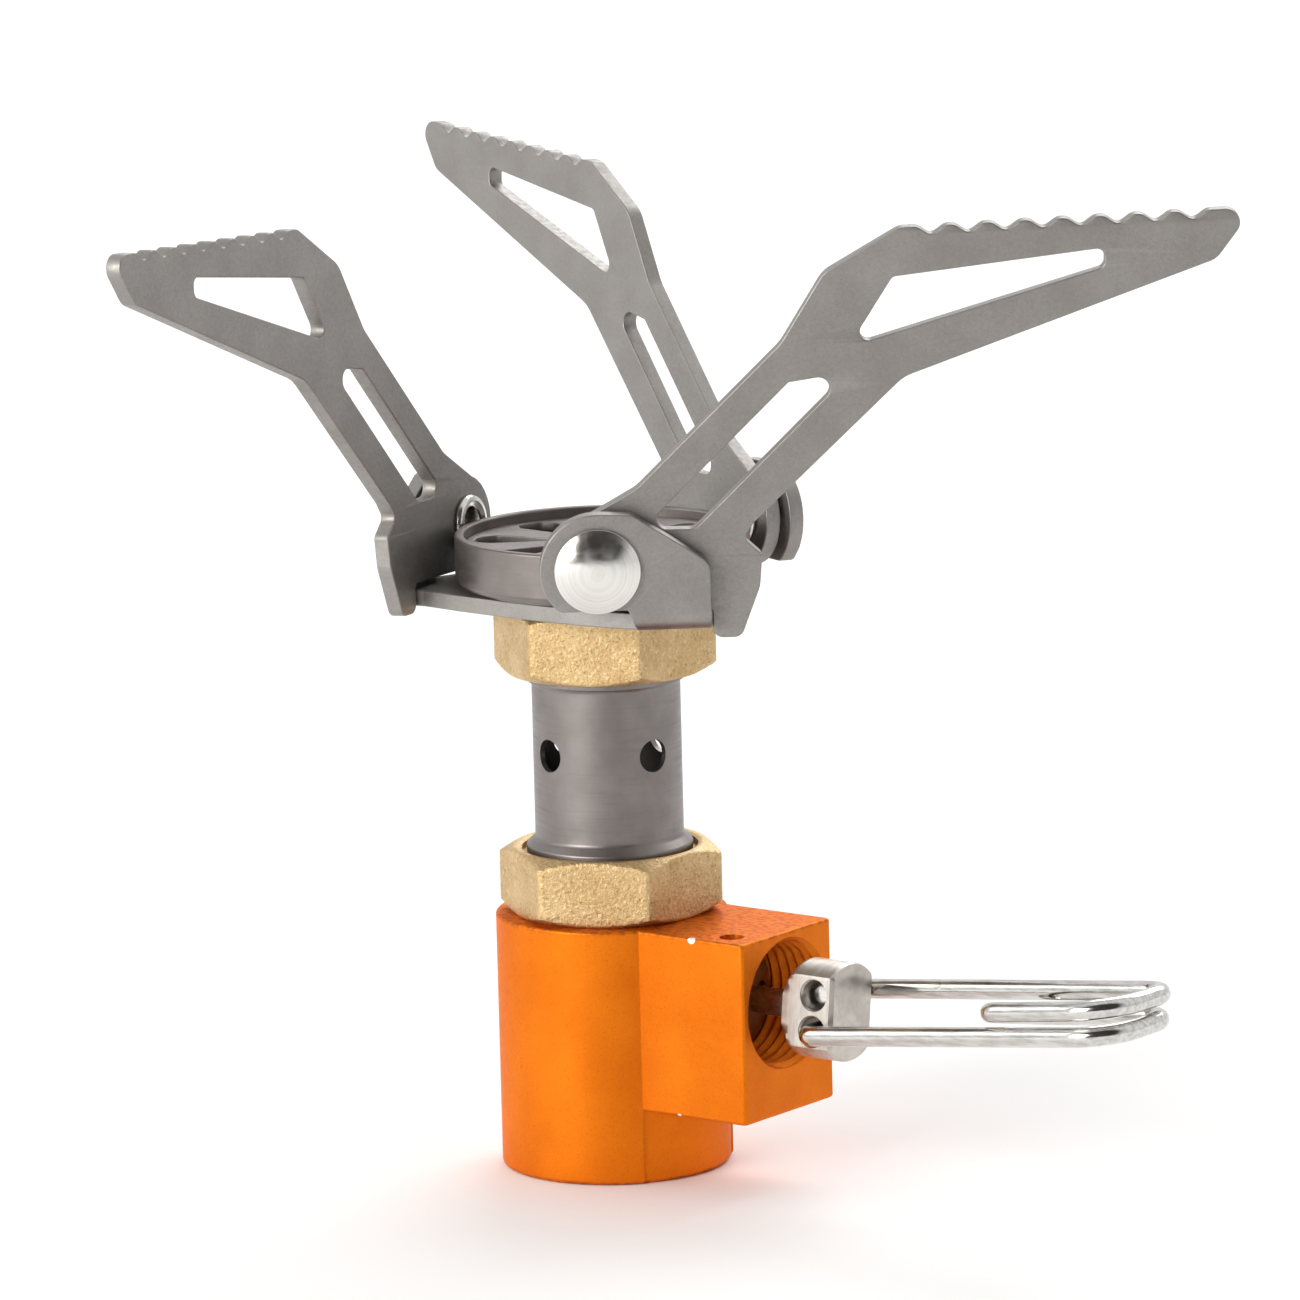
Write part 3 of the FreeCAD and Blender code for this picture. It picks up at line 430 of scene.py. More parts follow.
TITANIUM = blasted_titanium("titanium_sheet", (0.268, 0.252, 0.238), (0.335, 0.318, 0.300))
# The bracket's titanium carries the painted brass reflection on the undersides of its bends.
BRACKET_TITANIUM = blasted_titanium("titanium_bracket", (0.280, 0.264, 0.250), (0.345, 0.327, 0.310), True)
TITANIUM_EDGE_HIGHLIGHT = cut_edge("titanium_edge_painted_highlight", (0.50, 0.475, 0.435))
HEAD_METAL = turned_metal("burner_metal", (0.205, 0.183, 0.172), (0.255, 0.230, 0.218), 0.38, 0.50)
PLATE_METAL = turned_metal(
    "flame_plate_metal", (0.235, 0.212, 0.203), (0.300, 0.275, 0.262), 0.40, 0.55, 0.9, (1, 1, 1))
TUBE_METAL = turned_metal("tube_metal", (0.215, 0.193, 0.184), (0.255, 0.232, 0.222), 0.36, 0.46)
BRASS = blasted_brass("blasted_brass")
MACHINED_BRASS = turned_metal(
    "machined_brass", (0.46, 0.29, 0.10), (0.66, 0.46, 0.19), 0.24, 0.38, 0.95, (1, 0.05, 0.05))
ORANGE = anodised_orange("orange_anodised")
WIRE_STEEL = bright_steel("wire_steel", (0.50, 0.485, 0.46), (0.72, 0.705, 0.68), (0.10, 0.18), (0.15, 1, 1))
HUB_STEEL = bright_steel("hub_steel", (0.46, 0.425, 0.385), (0.60, 0.565, 0.52), (0.33, 0.42), (1, 0.2, 0.2))
RIVET_STEEL = ringed_steel("rivet_steel")
WASHER_STEEL = bright_steel("washer_steel", (0.30, 0.28, 0.26), (0.46, 0.44, 0.41), (0.3, 0.45))
RUBBER = black_rubber("seal_rubber")


# ---------------------------------------------------------------- mesh tools

ARC_STEP = 9.0
WIRE_ARC_STEP = 8.0
WIRE_SIDES = 28
END_SHARES = (0.0, 0.35, 0.7, 1.0)


def circle_points(radius, angles):
    """Points on a circle at angles in degrees."""
    return [(radius * math.cos(math.radians(a)), radius * math.sin(math.radians(a))) for a in angles]


def ring_faces(rings, count):
    """Faces of a skin over rings of count points each, closed by a flat face at both ends."""
    faces = [
        (j * count + k, j * count + (k + 1) % count,
         (j + 1) * count + (k + 1) % count, (j + 1) * count + k)
        for j in range(rings - 1) for k in range(count)
    ]
    faces.append(tuple(range(count)))
    faces.append(tuple((rings - 1) * count + k for k in range(count)))
    return faces


def rounded(corners):
    """A closed outline in which every corner (x, y, radius) has become an arc."""
    points = []
    count = len(corners)
    for i, (x, y, radius) in enumerate(corners):
        here = Vector((x, y))
        before = (Vector(corners[i - 1][:2]) - here).normalized()
        after = (Vector(corners[(i + 1) % count][:2]) - here).normalized()
        half = before.angle(after) / 2
        if radius <= 0 or half > math.radians(89.5):
            points.append((x, y))
            continue
        setback = radius / math.tan(half)
        centre = here + (before + after).normalized() * (radius / math.sin(half))
        first = here + before * setback - centre
        last = here + after * setback - centre
        turn = math.copysign(math.pi - 2 * half, first.x * last.y - first.y * last.x)
        steps = max(2, round(math.degrees(abs(turn)) / ARC_STEP))
        for k in range(steps + 1):
            angle = turn * k / steps
            points.append((
                centre.x + first.x * math.cos(angle) - first.y * math.sin(angle),
                centre.y + first.x * math.sin(angle) + first.y * math.cos(angle),
            ))
    return points


def mesh_from(name, points, faces, place=None):
    """A mesh in metres from points in millimetres, with doubled points joined and normals outside."""
    place = place or Matrix.Identity(4)
    mesh = bpy.data.meshes.new(name)
    mesh.from_pydata([(place @ Vector(p)) * MM for p in points], [], faces)
    tidy(mesh)
    return mesh


def tidy(mesh):
    """Joins doubled points, drops empty faces and turns the normals outside."""
    work = bmesh.new()
    work.from_mesh(mesh)
    bmesh.ops.remove_doubles(work, verts=work.verts, dist=1e-7)
    bmesh.ops.dissolve_degenerate(work, edges=work.edges, dist=1e-8)
    bmesh.ops.recalc_face_normals(work, faces=work.faces)
    work.to_mesh(mesh)
    work.free()


def lathe(name, profile, segments=128, shape=None, place=None):
    """Turns a closed (radius, height) profile round Z. shape(radius, height, angle) may alter the radius."""
    count = len(profile)
    points = []
    for k in range(segments):
        angle = 2 * math.pi * k / segments
        for radius, height in profile:
            r = shape(radius, height, angle) if shape else radius
            points.append((r * math.cos(angle), r * math.sin(angle), height))
    faces = []
    for k in range(segments):
        here = k * count
        after = (k + 1) % segments * count
        for i in range(count):
            j = (i + 1) % count
            faces.append((here + i, after + i, after + j, here + j))
    return mesh_from(name, points, faces, place)


def along_x(height=0.0):
    """Placement that lays a lathe's Z axis along +X at a height."""
    return Matrix.Translation((0, 0, height)) @ Matrix.Rotation(math.radians(90), 4, "Y")


def cut(mesh, tool):
    """The mesh after an exact boolean with the tool, which is used up."""
    first = bpy.data.objects.new("cut_first", mesh)
    second = bpy.data.objects.new("cut_second", tool)
    for item in (first, second):
        scene.collection.objects.link(item)
    boolean = first.modifiers.new("boolean", "BOOLEAN")
    boolean.operation = "DIFFERENCE"
    boolean.solver = "EXACT"
    boolean.object = second
    result = evaluated_mesh(first)
    for item in (first, second):
        bpy.data.objects.remove(item)
    tidy(result)
    return result


def evaluated_mesh(item):
    """The object's mesh with its modifiers or curve bevel applied."""
    graph = bpy.context.evaluated_depsgraph_get()
    graph.update()
    return bpy.data.meshes.new_from_object(item.evaluated_get(graph))


def rod(radius, start, end, place, chamfer=0.0, segments=48):
    """A round tool from start to end along Z, its start widened by a chamfer."""
    profile = [(0, start), (radius + chamfer, start), (radius + chamfer, start + 0.3)]
    profile += [(radius, start + 0.3 + chamfer), (radius, end), (0, end)]
    return lathe("rod", profile, segments, None, place)


def thread_tool(name, root, crest, pitch, start, end, mouth, place):
    """A tool that cuts an inside thread from start up to its mouth at end, with a lead-in chamfer."""
    segments, steps = 96, 9
    rows = int((end - start) / pitch * steps)
    points = []
    for j in range(rows + 1):
        height = start + (end - start) * j / rows
        fade = min(1.0, (height - start) / (0.5 * pitch), (end - height) / (0.3 * pitch))
        for k in range(segments):
            angle = 2 * math.pi * k / segments
            phase = (height / pitch - k / segments) % 1.0
            ridge = abs(2 * phase - 1)
            ridge = min(1.0, max(0.0, 1.25 * ridge - 0.12))
            radius = root - (root - crest) * ridge * max(fade, 0.0)
            radius = max(radius, mouth - (end - height))
            points.append((radius * math.cos(angle), radius * math.sin(angle), height))
    for k in range(segments):
        angle = 2 * math.pi * k / segments
        points.append((mouth * math.cos(angle), mouth * math.sin(angle), end + 1.0))
    return mesh_from(name, points, ring_faces(rows + 2, segments), place)


def flat_sheet(name, outline, holes, thickness, edge=0.12):
    """Sheet metal between z = 0 and its thickness, with rounded edges, from outlines in x and y."""
    data = bpy.data.curves.new(name, "CURVE")
    data.dimensions = "2D"
    data.fill_mode = "BOTH"
    for loop in [outline, *holes]:
        spline = data.splines.new("POLY")
        spline.points.add(len(loop) - 1)
        for point, (x, y) in zip(spline.points, loop):
            point.co = (x, y, 0, 1)
        spline.use_cyclic_u = True
    data.extrude = thickness / 2 - edge
    data.bevel_depth = edge
    data.bevel_resolution = 2
    data.offset = -edge
    item = bpy.data.objects.new(name, data)
    scene.collection.objects.link(item)
    mesh = evaluated_mesh(item)
    bpy.data.objects.remove(item)
    mesh.transform(Matrix.Translation((0, 0, thickness / 2)))
    work = bmesh.new()
    work.from_mesh(mesh)
    bmesh.ops.remove_doubles(work, verts=work.verts, dist=1e-4)
    bmesh.ops.recalc_face_normals(work, faces=work.faces)
    work.to_mesh(mesh)
    work.free()
    mesh.name = name
    return mesh


def bent_points(corners, radii):
    """Points along straight runs joined by tangent arcs, for bent wire."""
    points = [corners[0]]
    for i in range(1, len(corners) - 1):
        here = corners[i]
        before = (corners[i - 1] - here).normalized()
        after = (corners[i + 1] - here).normalized()
        half = before.angle(after) / 2
        setback = radii[i] / math.tan(half)
        centre = here + (before + after).normalized() * (radii[i] / math.sin(half))
        first = here + before * setback - centre
        axis = first.cross(here + after * setback - centre).normalized()
        turn = math.pi - 2 * half
        steps = max(3, round(math.degrees(turn) / WIRE_ARC_STEP))
        for k in range(steps + 1):
            points.append(centre + Matrix.Rotation(turn * k / steps, 3, axis) @ first)
    points.append(corners[-1])
    return points


def wire_mesh(name, points, radius, ends):
    """A round wire along points, with slightly rounded cut ends."""
    stations = []
    first = (points[1] - points[0]).normalized()
    last = (points[-1] - points[-2]).normalized()
    for share in END_SHARES:
        inset = ends[0] * (1 - math.sqrt(max(0.0, 1 - (1 - share) ** 2)))
        stations.append((points[0] + first * (ends[0] * share), first, radius - inset))
    for i in range(1, len(points) - 1):
        direction = (points[i + 1] - points[i]).normalized() + (points[i] - points[i - 1]).normalized()
        stations.append((points[i], direction.normalized(), radius))
    for share in reversed(END_SHARES):
        inset = ends[1] * (1 - math.sqrt(max(0.0, 1 - (1 - share) ** 2)))
        stations.append((points[-1] - last * (ends[1] * share), last, radius - inset))
    across = first.orthogonal().normalized()
    rings = []
    for centre, direction, size in stations:
        across = (across - direction * across.dot(direction)).normalized()
        other = direction.cross(across)
        for k in range(WIRE_SIDES):
            angle = 2 * math.pi * k / WIRE_SIDES
            rings.append(centre + (across * math.cos(angle) + other * math.sin(angle)) * size)
    return mesh_from(name, rings, ring_faces(len(stations), WIRE_SIDES))


def shade(mesh, sharp_degrees=32.0):
    """Smooth shading that stops at edges sharper than an angle."""
    work = bmesh.new()
    work.from_mesh(mesh)
    limit = math.radians(sharp_degrees)
    for face in work.faces:
        face.smooth = True
    for edge in work.edges:
        edge.smooth = len(edge.link_faces) == 2 and edge.calc_face_angle(0.0) < limit
    work.to_mesh(mesh)
    work.free()


def add_piece(name, mesh, body, nodes, materials, place=None, sharp_degrees=32.0):
    """A finished piece that rides on a body and stands for CAD nodes."""
    shade(mesh, sharp_degrees)
    mesh.name = name
    mesh.materials.clear()
    for material in materials:
        mesh.materials.append(material)
    piece = bpy.data.objects.new(name, mesh)
    scene.collection.objects.link(piece)
    if place is not None:
        piece.matrix_world = place
    weighted = piece.modifiers.new("weighted_normals", "WEIGHTED_NORMAL")
    weighted.mode = "FACE_AREA"
    weighted.weight = 80
    weighted.keep_sharp = True
    if body:
        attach(piece, body)
    if nodes:
        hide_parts(*nodes)
    return piece


def give(node, material):
    """A CAD node that stays, with a procedural material."""
    item = frame["nodes"][node]
    item.data.materials.clear()
    item.data.materials.append(material)
    for polygon in item.data.polygons:
        polygon.material_index = 0


# ---------------------------------------------------------------- valve body

STEM_RADIUS = 10.0
BODY_TOP = 22.2
BLOCK_END = 18.69
BLOCK_HALF = 6.38
BLOCK_BOTTOM = 6.45
VALVE_AXIS = 15.95
VALVE_BORE = 5.6


MILLED_STEP = 0.18
BLOCK_CORNER = 0.35
BASE_THREAD_ROOT, BASE_THREAD_CREST, BASE_THREAD_PITCH = 5.56, 5.12, 0.907
PIN_HOLE = (15.95, -4.1)


def body_ring(height, round_inset, block_inset, block):
    """Points round the valve body at one height, on the stem alone or on stem and block.

    Below the block the stem's front is milled back by a small step.
    """
    corner = math.asin(BLOCK_HALF / STEM_RADIUS)
    back_steps, side_steps, front_steps, turn_steps = 110, 8, 12, 5
    radius = STEM_RADIUS - round_inset
    ring = []
    for k in range(back_steps + 1):
        angle = corner + (2 * math.pi - 2 * corner) * k / back_steps
        ring.append((radius * math.cos(angle), radius * math.sin(angle), height))
    front = 2 * (side_steps + turn_steps) + front_steps
    if not block:
        milled = radius - MILLED_STEP
        for k in range(front - 1):
            angle = 0.997 * corner * (2 * k / (front - 2) - 1)
            ring.append((milled * math.cos(angle), milled * math.sin(angle), height))
        return ring
    half = BLOCK_HALF - block_inset
    end = BLOCK_END - block_inset
    turn = BLOCK_CORNER
    start = STEM_RADIUS * math.cos(corner)
    side = [(start + (end - turn - start) * k / side_steps, -half) for k in range(1, side_steps + 1)]
    bend = [
        (end - turn + turn * math.sin(a), -half + turn - turn * math.cos(a))
        for a in (math.radians(90) * k / turn_steps for k in range(1, turn_steps + 1))
    ]
    face = [(end, (-half + turn) * (1 - 2 * k / front_steps)) for k in range(1, front_steps // 2 + 1)]
    lower = side + bend + face
    upper = [(x, -y) for x, y in reversed(lower[:-1])]
    ring += [(x, y, height) for x, y in lower + upper]
    return ring


def valve_body():
    """The round stem and square block as one skin, with its bore, base thread and pin hole cut in."""
    quarter = [math.radians(90) * k / 4 for k in range(5)]
    foot, ledge, rim = 0.42, 0.30, 0.22
    rings = [body_ring(foot * (1 - math.cos(a)), foot * (1 - math.sin(a)), 0, False) for a in quarter]
    rings += [body_ring(BLOCK_BOTTOM * share, 0, 0, False) for share in (0.35, 0.7, 1.0)]
    rings += [
        body_ring(BLOCK_BOTTOM + ledge * (1 - math.cos(a)), 0, ledge * (1 - math.sin(a)), True)
        for a in quarter
    ]
    rings += [body_ring(level, 0, 0, True) for level in (11.0, 16.0, 20.0)]
    rings += [
        body_ring(BODY_TOP - rim * (1 - math.sin(a)), rim * (1 - math.cos(a)), rim * (1 - math.cos(a)), True)
        for a in quarter
    ]
    count = min(len(ring) for ring in rings)
    points = [point for ring in rings for point in ring[:count]]
    mesh = mesh_from("valve_body", points, ring_faces(len(rings), count))
    bore = thread_tool("bore", VALVE_BORE, 5.18, 1.0, 11.0, BLOCK_END, VALVE_BORE + 0.12, along_x(VALVE_AXIS))
    mesh = cut(mesh, bore)
    flip = Matrix.Rotation(math.radians(180), 4, "X")
    socket = thread_tool(
        "socket", BASE_THREAD_ROOT, BASE_THREAD_CREST, BASE_THREAD_PITCH, -6.6, 0.0, 5.95, flip)
    mesh = cut(mesh, socket)
    mesh = cut(mesh, rod(5.85, -9.0, -6.4, flip, 0.0, 96))
    mesh = cut(mesh, rod(1.08, -23.0, -17.0, Matrix.Translation((*PIN_HOLE, 0)) @ flip, 0.12))
    add_piece("valve_body_shell", mesh, "stove", ["valve_body"], [ORANGE])


# ---------------------------------------------------------------- brass hexagons, tube, burner

HEX_HALF = 8.5
HEX_CORNER = 9.70
HEX_CHAMFER = math.tan(math.radians(62))


def soft_min(first, second, blur):
    """The smaller of two numbers, with a short blend where they meet."""
    gap = max(blur - abs(first - second), 0.0) / blur
    return min(first, second) - gap * gap * blur / 4


def hexagon_shape(turn, bottom, top, face_radius):
    """A radius limit that makes a hexagon nut with conical chamfers at both ends."""
    def shape(radius, height, angle):
        if radius < HEX_HALF - 1.2:
            return radius
        sector = (math.degrees(angle) - turn + 30) % 60 - 30
        flat = HEX_HALF / math.cos(math.radians(30 - abs(sector)))
        cone = face_radius + min(height - bottom, top - height) * HEX_CHAMFER
        return min(radius, soft_min(soft_min(flat, HEX_CORNER, 0.12), cone, 0.22))
    return shape


def nut_profile(bottom, top, inner_bottom, inner_top, face_radius):
    """Outer faces of a nut: inside edge, under face, side rows and top face."""
    rows = 26
    beyond_corners = 12.0
    profile = [(inner_bottom, bottom)]
    profile += [(inner_bottom + (face_radius - inner_bottom) * k / 4, bottom) for k in range(1, 5)]
    for k in range(rows + 1):
        share = 0.5 - 0.5 * math.cos(math.pi * k / rows)
        profile.append((beyond_corners, bottom + (top - bottom) * share))
    profile += [(inner_top + (face_radius - inner_top) * k / 4, top) for k in range(4, 0, -1)]
    return profile


def jet_holder():
    """The lower hexagon, with its spigot up into the tube and its stub down into the body."""
    bottom, top, face = BODY_TOP, 27.95, 8.35
    profile = nut_profile(bottom, top, 4.95, 7.75, face)
    profile += [(7.60, top - 0.15), (7.60, 27.25), (5.85, 27.25), (5.85, 29.7), (5.7, 29.8)]
    profile += [(2.0, 29.8), (1.9, 29.7), (1.9, 24.2), (1.0, 24.2), (1.0, 18.6), (4.95, 18.6)]
    mesh = lathe("jet_holder", profile, 360, hexagon_shape(27.8, bottom, top, face))
    add_piece("lower_hexagon", mesh, "stove", ["jet_holder"], [BRASS], None, 40)


def burner_nut():
    """The upper hexagon, which holds the tube's top and the burner cup's neck."""
    bottom, top, face = 43.25, 49.28, 8.45
    profile = nut_profile(bottom, top, 6.95, 6.2, face)
    profile += [(6.2, top), (6.2, 45.4), (6.95, 45.4)]
    mesh = lathe("burner_nut", profile, 360, hexagon_shape(26.4, bottom, top, face))
    add_piece("upper_hexagon", mesh, "stove", ["burner_nut"], [BRASS], None, 40)


AIR_HOLE, AIR_HOLE_HEIGHT, FIRST_AIR_HOLE = 1.42, 36.46, -14.35


def mixing_tube():
    """The thin tube, flared at its foot and belled at its top, with four air holes."""
    wall = 0.5
    outer = rounded([
        (7.16 - wall, 27.35, 0.1), (7.16, 27.35, 0.15), (7.16, 28.15, 0.25), (6.42, 28.85, 0.5),
        (6.4, 29.6, 0), (6.4, 42.2, 0.3), (6.55, 42.45, 0.1), (6.9, 42.55, 0.12), (6.9, 43.2, 0.1),
        (6.9 - wall, 43.2, 0.1), (5.9, 42.3, 0.3), (5.9, 29.2, 0.5), (7.16 - wall, 28.2, 0.3),
    ])
    mesh = lathe("mixing_tube", outer, 160)
    for k in range(4):
        turn = Matrix.Rotation(math.radians(FIRST_AIR_HOLE + 90 * k), 4, "Z")
        mesh = cut(mesh, rod(AIR_HOLE, 4.5, 8.0, turn @ along_x(AIR_HOLE_HEIGHT)))
    add_piece("mixing_tube_sleeve", mesh, "stove", ["mixing_tube"], [TUBE_METAL], None, 40)


HEAD_RADIUS = 12.65
HEAD_BOTTOM, HEAD_TOP = 50.72, 55.3


def burner_head():
    """The round cup on the plate, with a dark groove round its foot and a ledge for the flame plate."""
    rim, ledge = 11.85, 53.6
    profile = rounded([
        (5.3, 45.45, 0.15), (6.12, 45.45, 0.2), (6.12, HEAD_BOTTOM, 0.05), (11.5, HEAD_BOTTOM, 0.05),
        (11.6, HEAD_BOTTOM + 0.3, 0.05), (12.25, HEAD_BOTTOM + 0.34, 0.15),
        (HEAD_RADIUS, HEAD_BOTTOM + 0.75, 0.3), (HEAD_RADIUS, HEAD_TOP, 0.22),
        (rim, HEAD_TOP, 0.18), (rim, ledge, 0.05), (rim - 0.9, ledge, 0.1), (rim - 0.9, 51.5, 0.5),
        (5.3, 51.5, 0.4),
    ])
    mesh = lathe("burner_head", profile, 192)
    add_piece("burner_cup", mesh, "stove", ["burner_head"], [HEAD_METAL], None, 45)


FLAME_PLATE_RADIUS, FLAME_PLATE_BOTTOM = 11.8, 53.65
FLAME_SLOTS, FIRST_FLAME_SLOT = 8, 27.4


def burner_plate():
    """The flame plate: slots that widen outwards, each with a round outer end."""
    slot = rounded([
        (3.3, -0.35, 0.3), (9.6, -1.9, 1.3), (11.0, -1.1, 0.9),
        (11.0, 1.1, 0.9), (9.6, 1.9, 1.3), (3.3, 0.35, 0.3),
    ])
    holes = []
    for k in range(FLAME_SLOTS):
        angle = math.radians(FIRST_FLAME_SLOT + 360 / FLAME_SLOTS * k)
        holes.append([
            (x * math.cos(angle) - y * math.sin(angle), x * math.sin(angle) + y * math.cos(angle))
            for x, y in slot
        ])
    rim = circle_points(FLAME_PLATE_RADIUS, range(0, 360, 3))
    mesh = flat_sheet("burner_plate", rim, holes, 0.8, 0.1)
    mesh.transform(Matrix.Translation((0, 0, FLAME_PLATE_BOTTOM)))
    mesh.transform(Matrix.Scale(MM, 4))
    add_piece("flame_plate", mesh, "stove", ["burner_plate"], [PLATE_METAL])


# ---------------------------------------------------------------- bracket, arms, rivets

SHEET = 1.4
WASHER = 0.5
ARM_REST_FOLD = {"a": -0.7, "b": 1.3, "c": -0.55}
JOINTS = {joint["name"]: joint for joint in frame["joints"]}


def ear_frame(letter):
    """An arm hinge's frame: u along the arm, v up the ear, w outwards, from the arm's inner face."""
    joint = JOINTS["arm_%s_fold" % letter]
    outward = Vector(joint["axis"]).normalized()
    along = Vector((0, 0, 1)).cross(outward).normalized()
    up = outward.cross(along)
    origin = Vector(joint["pos_m"]) / MM - outward * (SHEET / 2)
    place = Matrix((along, up, outward)).transposed().to_4x4()
    place.translation = origin
    return place


def ear_place(letter):
    """The same frame with its origin in metres, to place a finished mesh."""
    place = ear_frame(letter)
    place.translation = place.translation * MM
    return place


def grooved_top(first, last):
    """Points along the arm's top edge from its crest to its tip, with eight round-bottomed grooves."""
    pitch, first_groove, count, depth = 3.13, 28.27, 8, 0.68
    slope = (last[1] - first[1]) / (last[0] - first[0])
    points = []
    steps = 170
    begin, end = first_groove - pitch / 2, first_groove + pitch * (count - 0.5)
    for k in range(steps + 1):
        u = begin + (end - begin) * k / steps
        wave = 0.5 + 0.5 * math.cos(2 * math.pi * (u - first_groove) / pitch)
        points.append((u, first[1] + slope * (u - first[0]) - depth * wave ** 1.3, 0))
    return points


ARM_HUB_RADIUS = 4.1


def arm_outline():
    """The pot arm's outer edge in (u, v) from its hinge."""
    crest, tip = (25.6, 28.5), (55.35, 29.7)
    hub = [(x, y, 0) for x, y in circle_points(ARM_HUB_RADIUS, range(-78, -256, -6))]
    outline = [(crest[0], crest[1], 1.5)]
    outline += grooved_top(crest, tip)
    outline += [
        (tip[0], tip[1], 1.2), (52.15, 25.35, 1.8), (25.9, 15.75, 3.4),
        (13.3, 3.55, 0.5), (12.35, 2.2, 0.6), (13.95, 0.75, 0.6), (13.75, -2.0, 2.0), (12.15, -6.38, 0.9),
        (9.72, -6.38, 0.9), (9.72, -3.85, 0.45), (2.0, -3.85, 0.5),
    ]
    outline += hub
    outline += [(3.4, 6.6, 3.0), (15.6, 18.8, 3.6), (19.2, 24.75, 2.6)]
    return rounded(outline)


ARM_WINDOW = [(25.0, 24.3, 0.6), (21.3, 18.4, 0.75), (42.75, 24.85, 0.65), (42.75, 26.45, 0.65)]
ARM_SLOT = [(16.25, 15.45, 0.4), (3.85, 3.05, 0.9), (8.3, 3.05, 1.2), (21.45, 16.25, 0.95)]


def two_tone(mesh):
    """Puts a flat sheet's cut edges in the second material slot."""
    for polygon in mesh.polygons:
        polygon.material_index = 0 if abs(polygon.normal.z) > 0.9 else 1


def pot_arm(letter):
    """A sheet arm with its window, slot and hinge hole, in bare faces and cut edges painted brighter as a
    highlight.
    """
    hole = circle_points(2.05, range(0, 360, 8))
    mesh = flat_sheet("arm", arm_outline(), [rounded(ARM_WINDOW), rounded(ARM_SLOT), hole], SHEET, 0.13)
    fold = Matrix.Rotation(math.radians(ARM_REST_FOLD[letter]), 4, "Z")
    place = ear_place(letter) @ fold
    two_tone(mesh)
    mesh.transform(Matrix.Scale(MM, 4))
    add_piece("pot_arm_%s_sheet" % letter, mesh, "pot_arm_" + letter, ["arm_" + letter],
              [TITANIUM, TITANIUM_EDGE_HIGHLIGHT], place)


RIVET_HEAD, RIVET_RIM, RIVET_DOME = 3.6, 0.42, 0.88


def rivet(letter):
    """A hollow rivet: a low domed head outside the ear, and a rolled edge inside the arm."""
    outside = SHEET + WASHER + SHEET
    ball = (RIVET_DOME ** 2 + RIVET_HEAD ** 2) / (2 * RIVET_DOME)
    crown = outside + RIVET_RIM + RIVET_DOME
    steps = 16
    head = []
    for k in range(steps + 1):
        angle = math.asin(RIVET_HEAD / ball) * k / steps
        head.append((ball * math.sin(angle), crown - ball * (1 - math.cos(angle))))
    profile = head + rounded([
        (3.62, outside + 0.36, 0.1), (3.62, outside + 0.02, 0.12), (1.98, outside + 0.02, 0),
        (1.98, -0.02, 0),
        (2.35, -0.02, 0.2), (2.5, -0.3, 0.2), (2.3, -0.62, 0.22), (1.9, -0.68, 0.2), (1.42, -0.45, 0.25),
        (1.3, 0.2, 0.2), (1.3, 2.5, 0.2), (0.4, 2.6, 0.1),
    ]) + [(0, 2.6)]
    mesh = lathe("rivet", profile, 96)
    add_piece("rivet_%s_turned" % letter, mesh, "stove", ["rivet_" + letter],
              [RIVET_STEEL], ear_place(letter), 50)


def washer(letter):
    """The thin ring between an arm and its ear."""
    low, high = SHEET + 0.01, SHEET + WASHER - 0.01
    profile = rounded([(2.0, low, 0.05), (3.4, low, 0.1), (3.4, high, 0.1), (2.0, high, 0.05)])
    mesh = lathe("washer", profile, 96)
    add_piece("washer_%s_ring" % letter, mesh, "stove", ["washer_" + letter],
              [WASHER_STEEL], ear_place(letter))


PLATE_BOTTOM = 49.3
PLATE_TOP = PLATE_BOTTOM + SHEET
BEND_INSIDE = 0.3
BEND_STEPS = 8
EAR_FROM = 2.3
EAR_CORNERS = [(2.5, -3.5, 0.2), (-3.36, -3.5, 0.9)]
EAR_CORNERS += [(x, y, 0) for x, y in circle_points(4.85, range(208, 84, -6))]
EAR_CORNERS += [(2.9, 4.75, 1.2), (7.38, 1.89, 3.0), (9.5, 0.35, 1.6), (9.5, -4.6, 0.5)]
NOTCH_START, NOTCH_SIDE = 15.2, 2.5
PLATE_CORNER_SIDE = 9.58
PLATE_SIDE_RISE = 0.62
BURNER_HOLE = 6.2


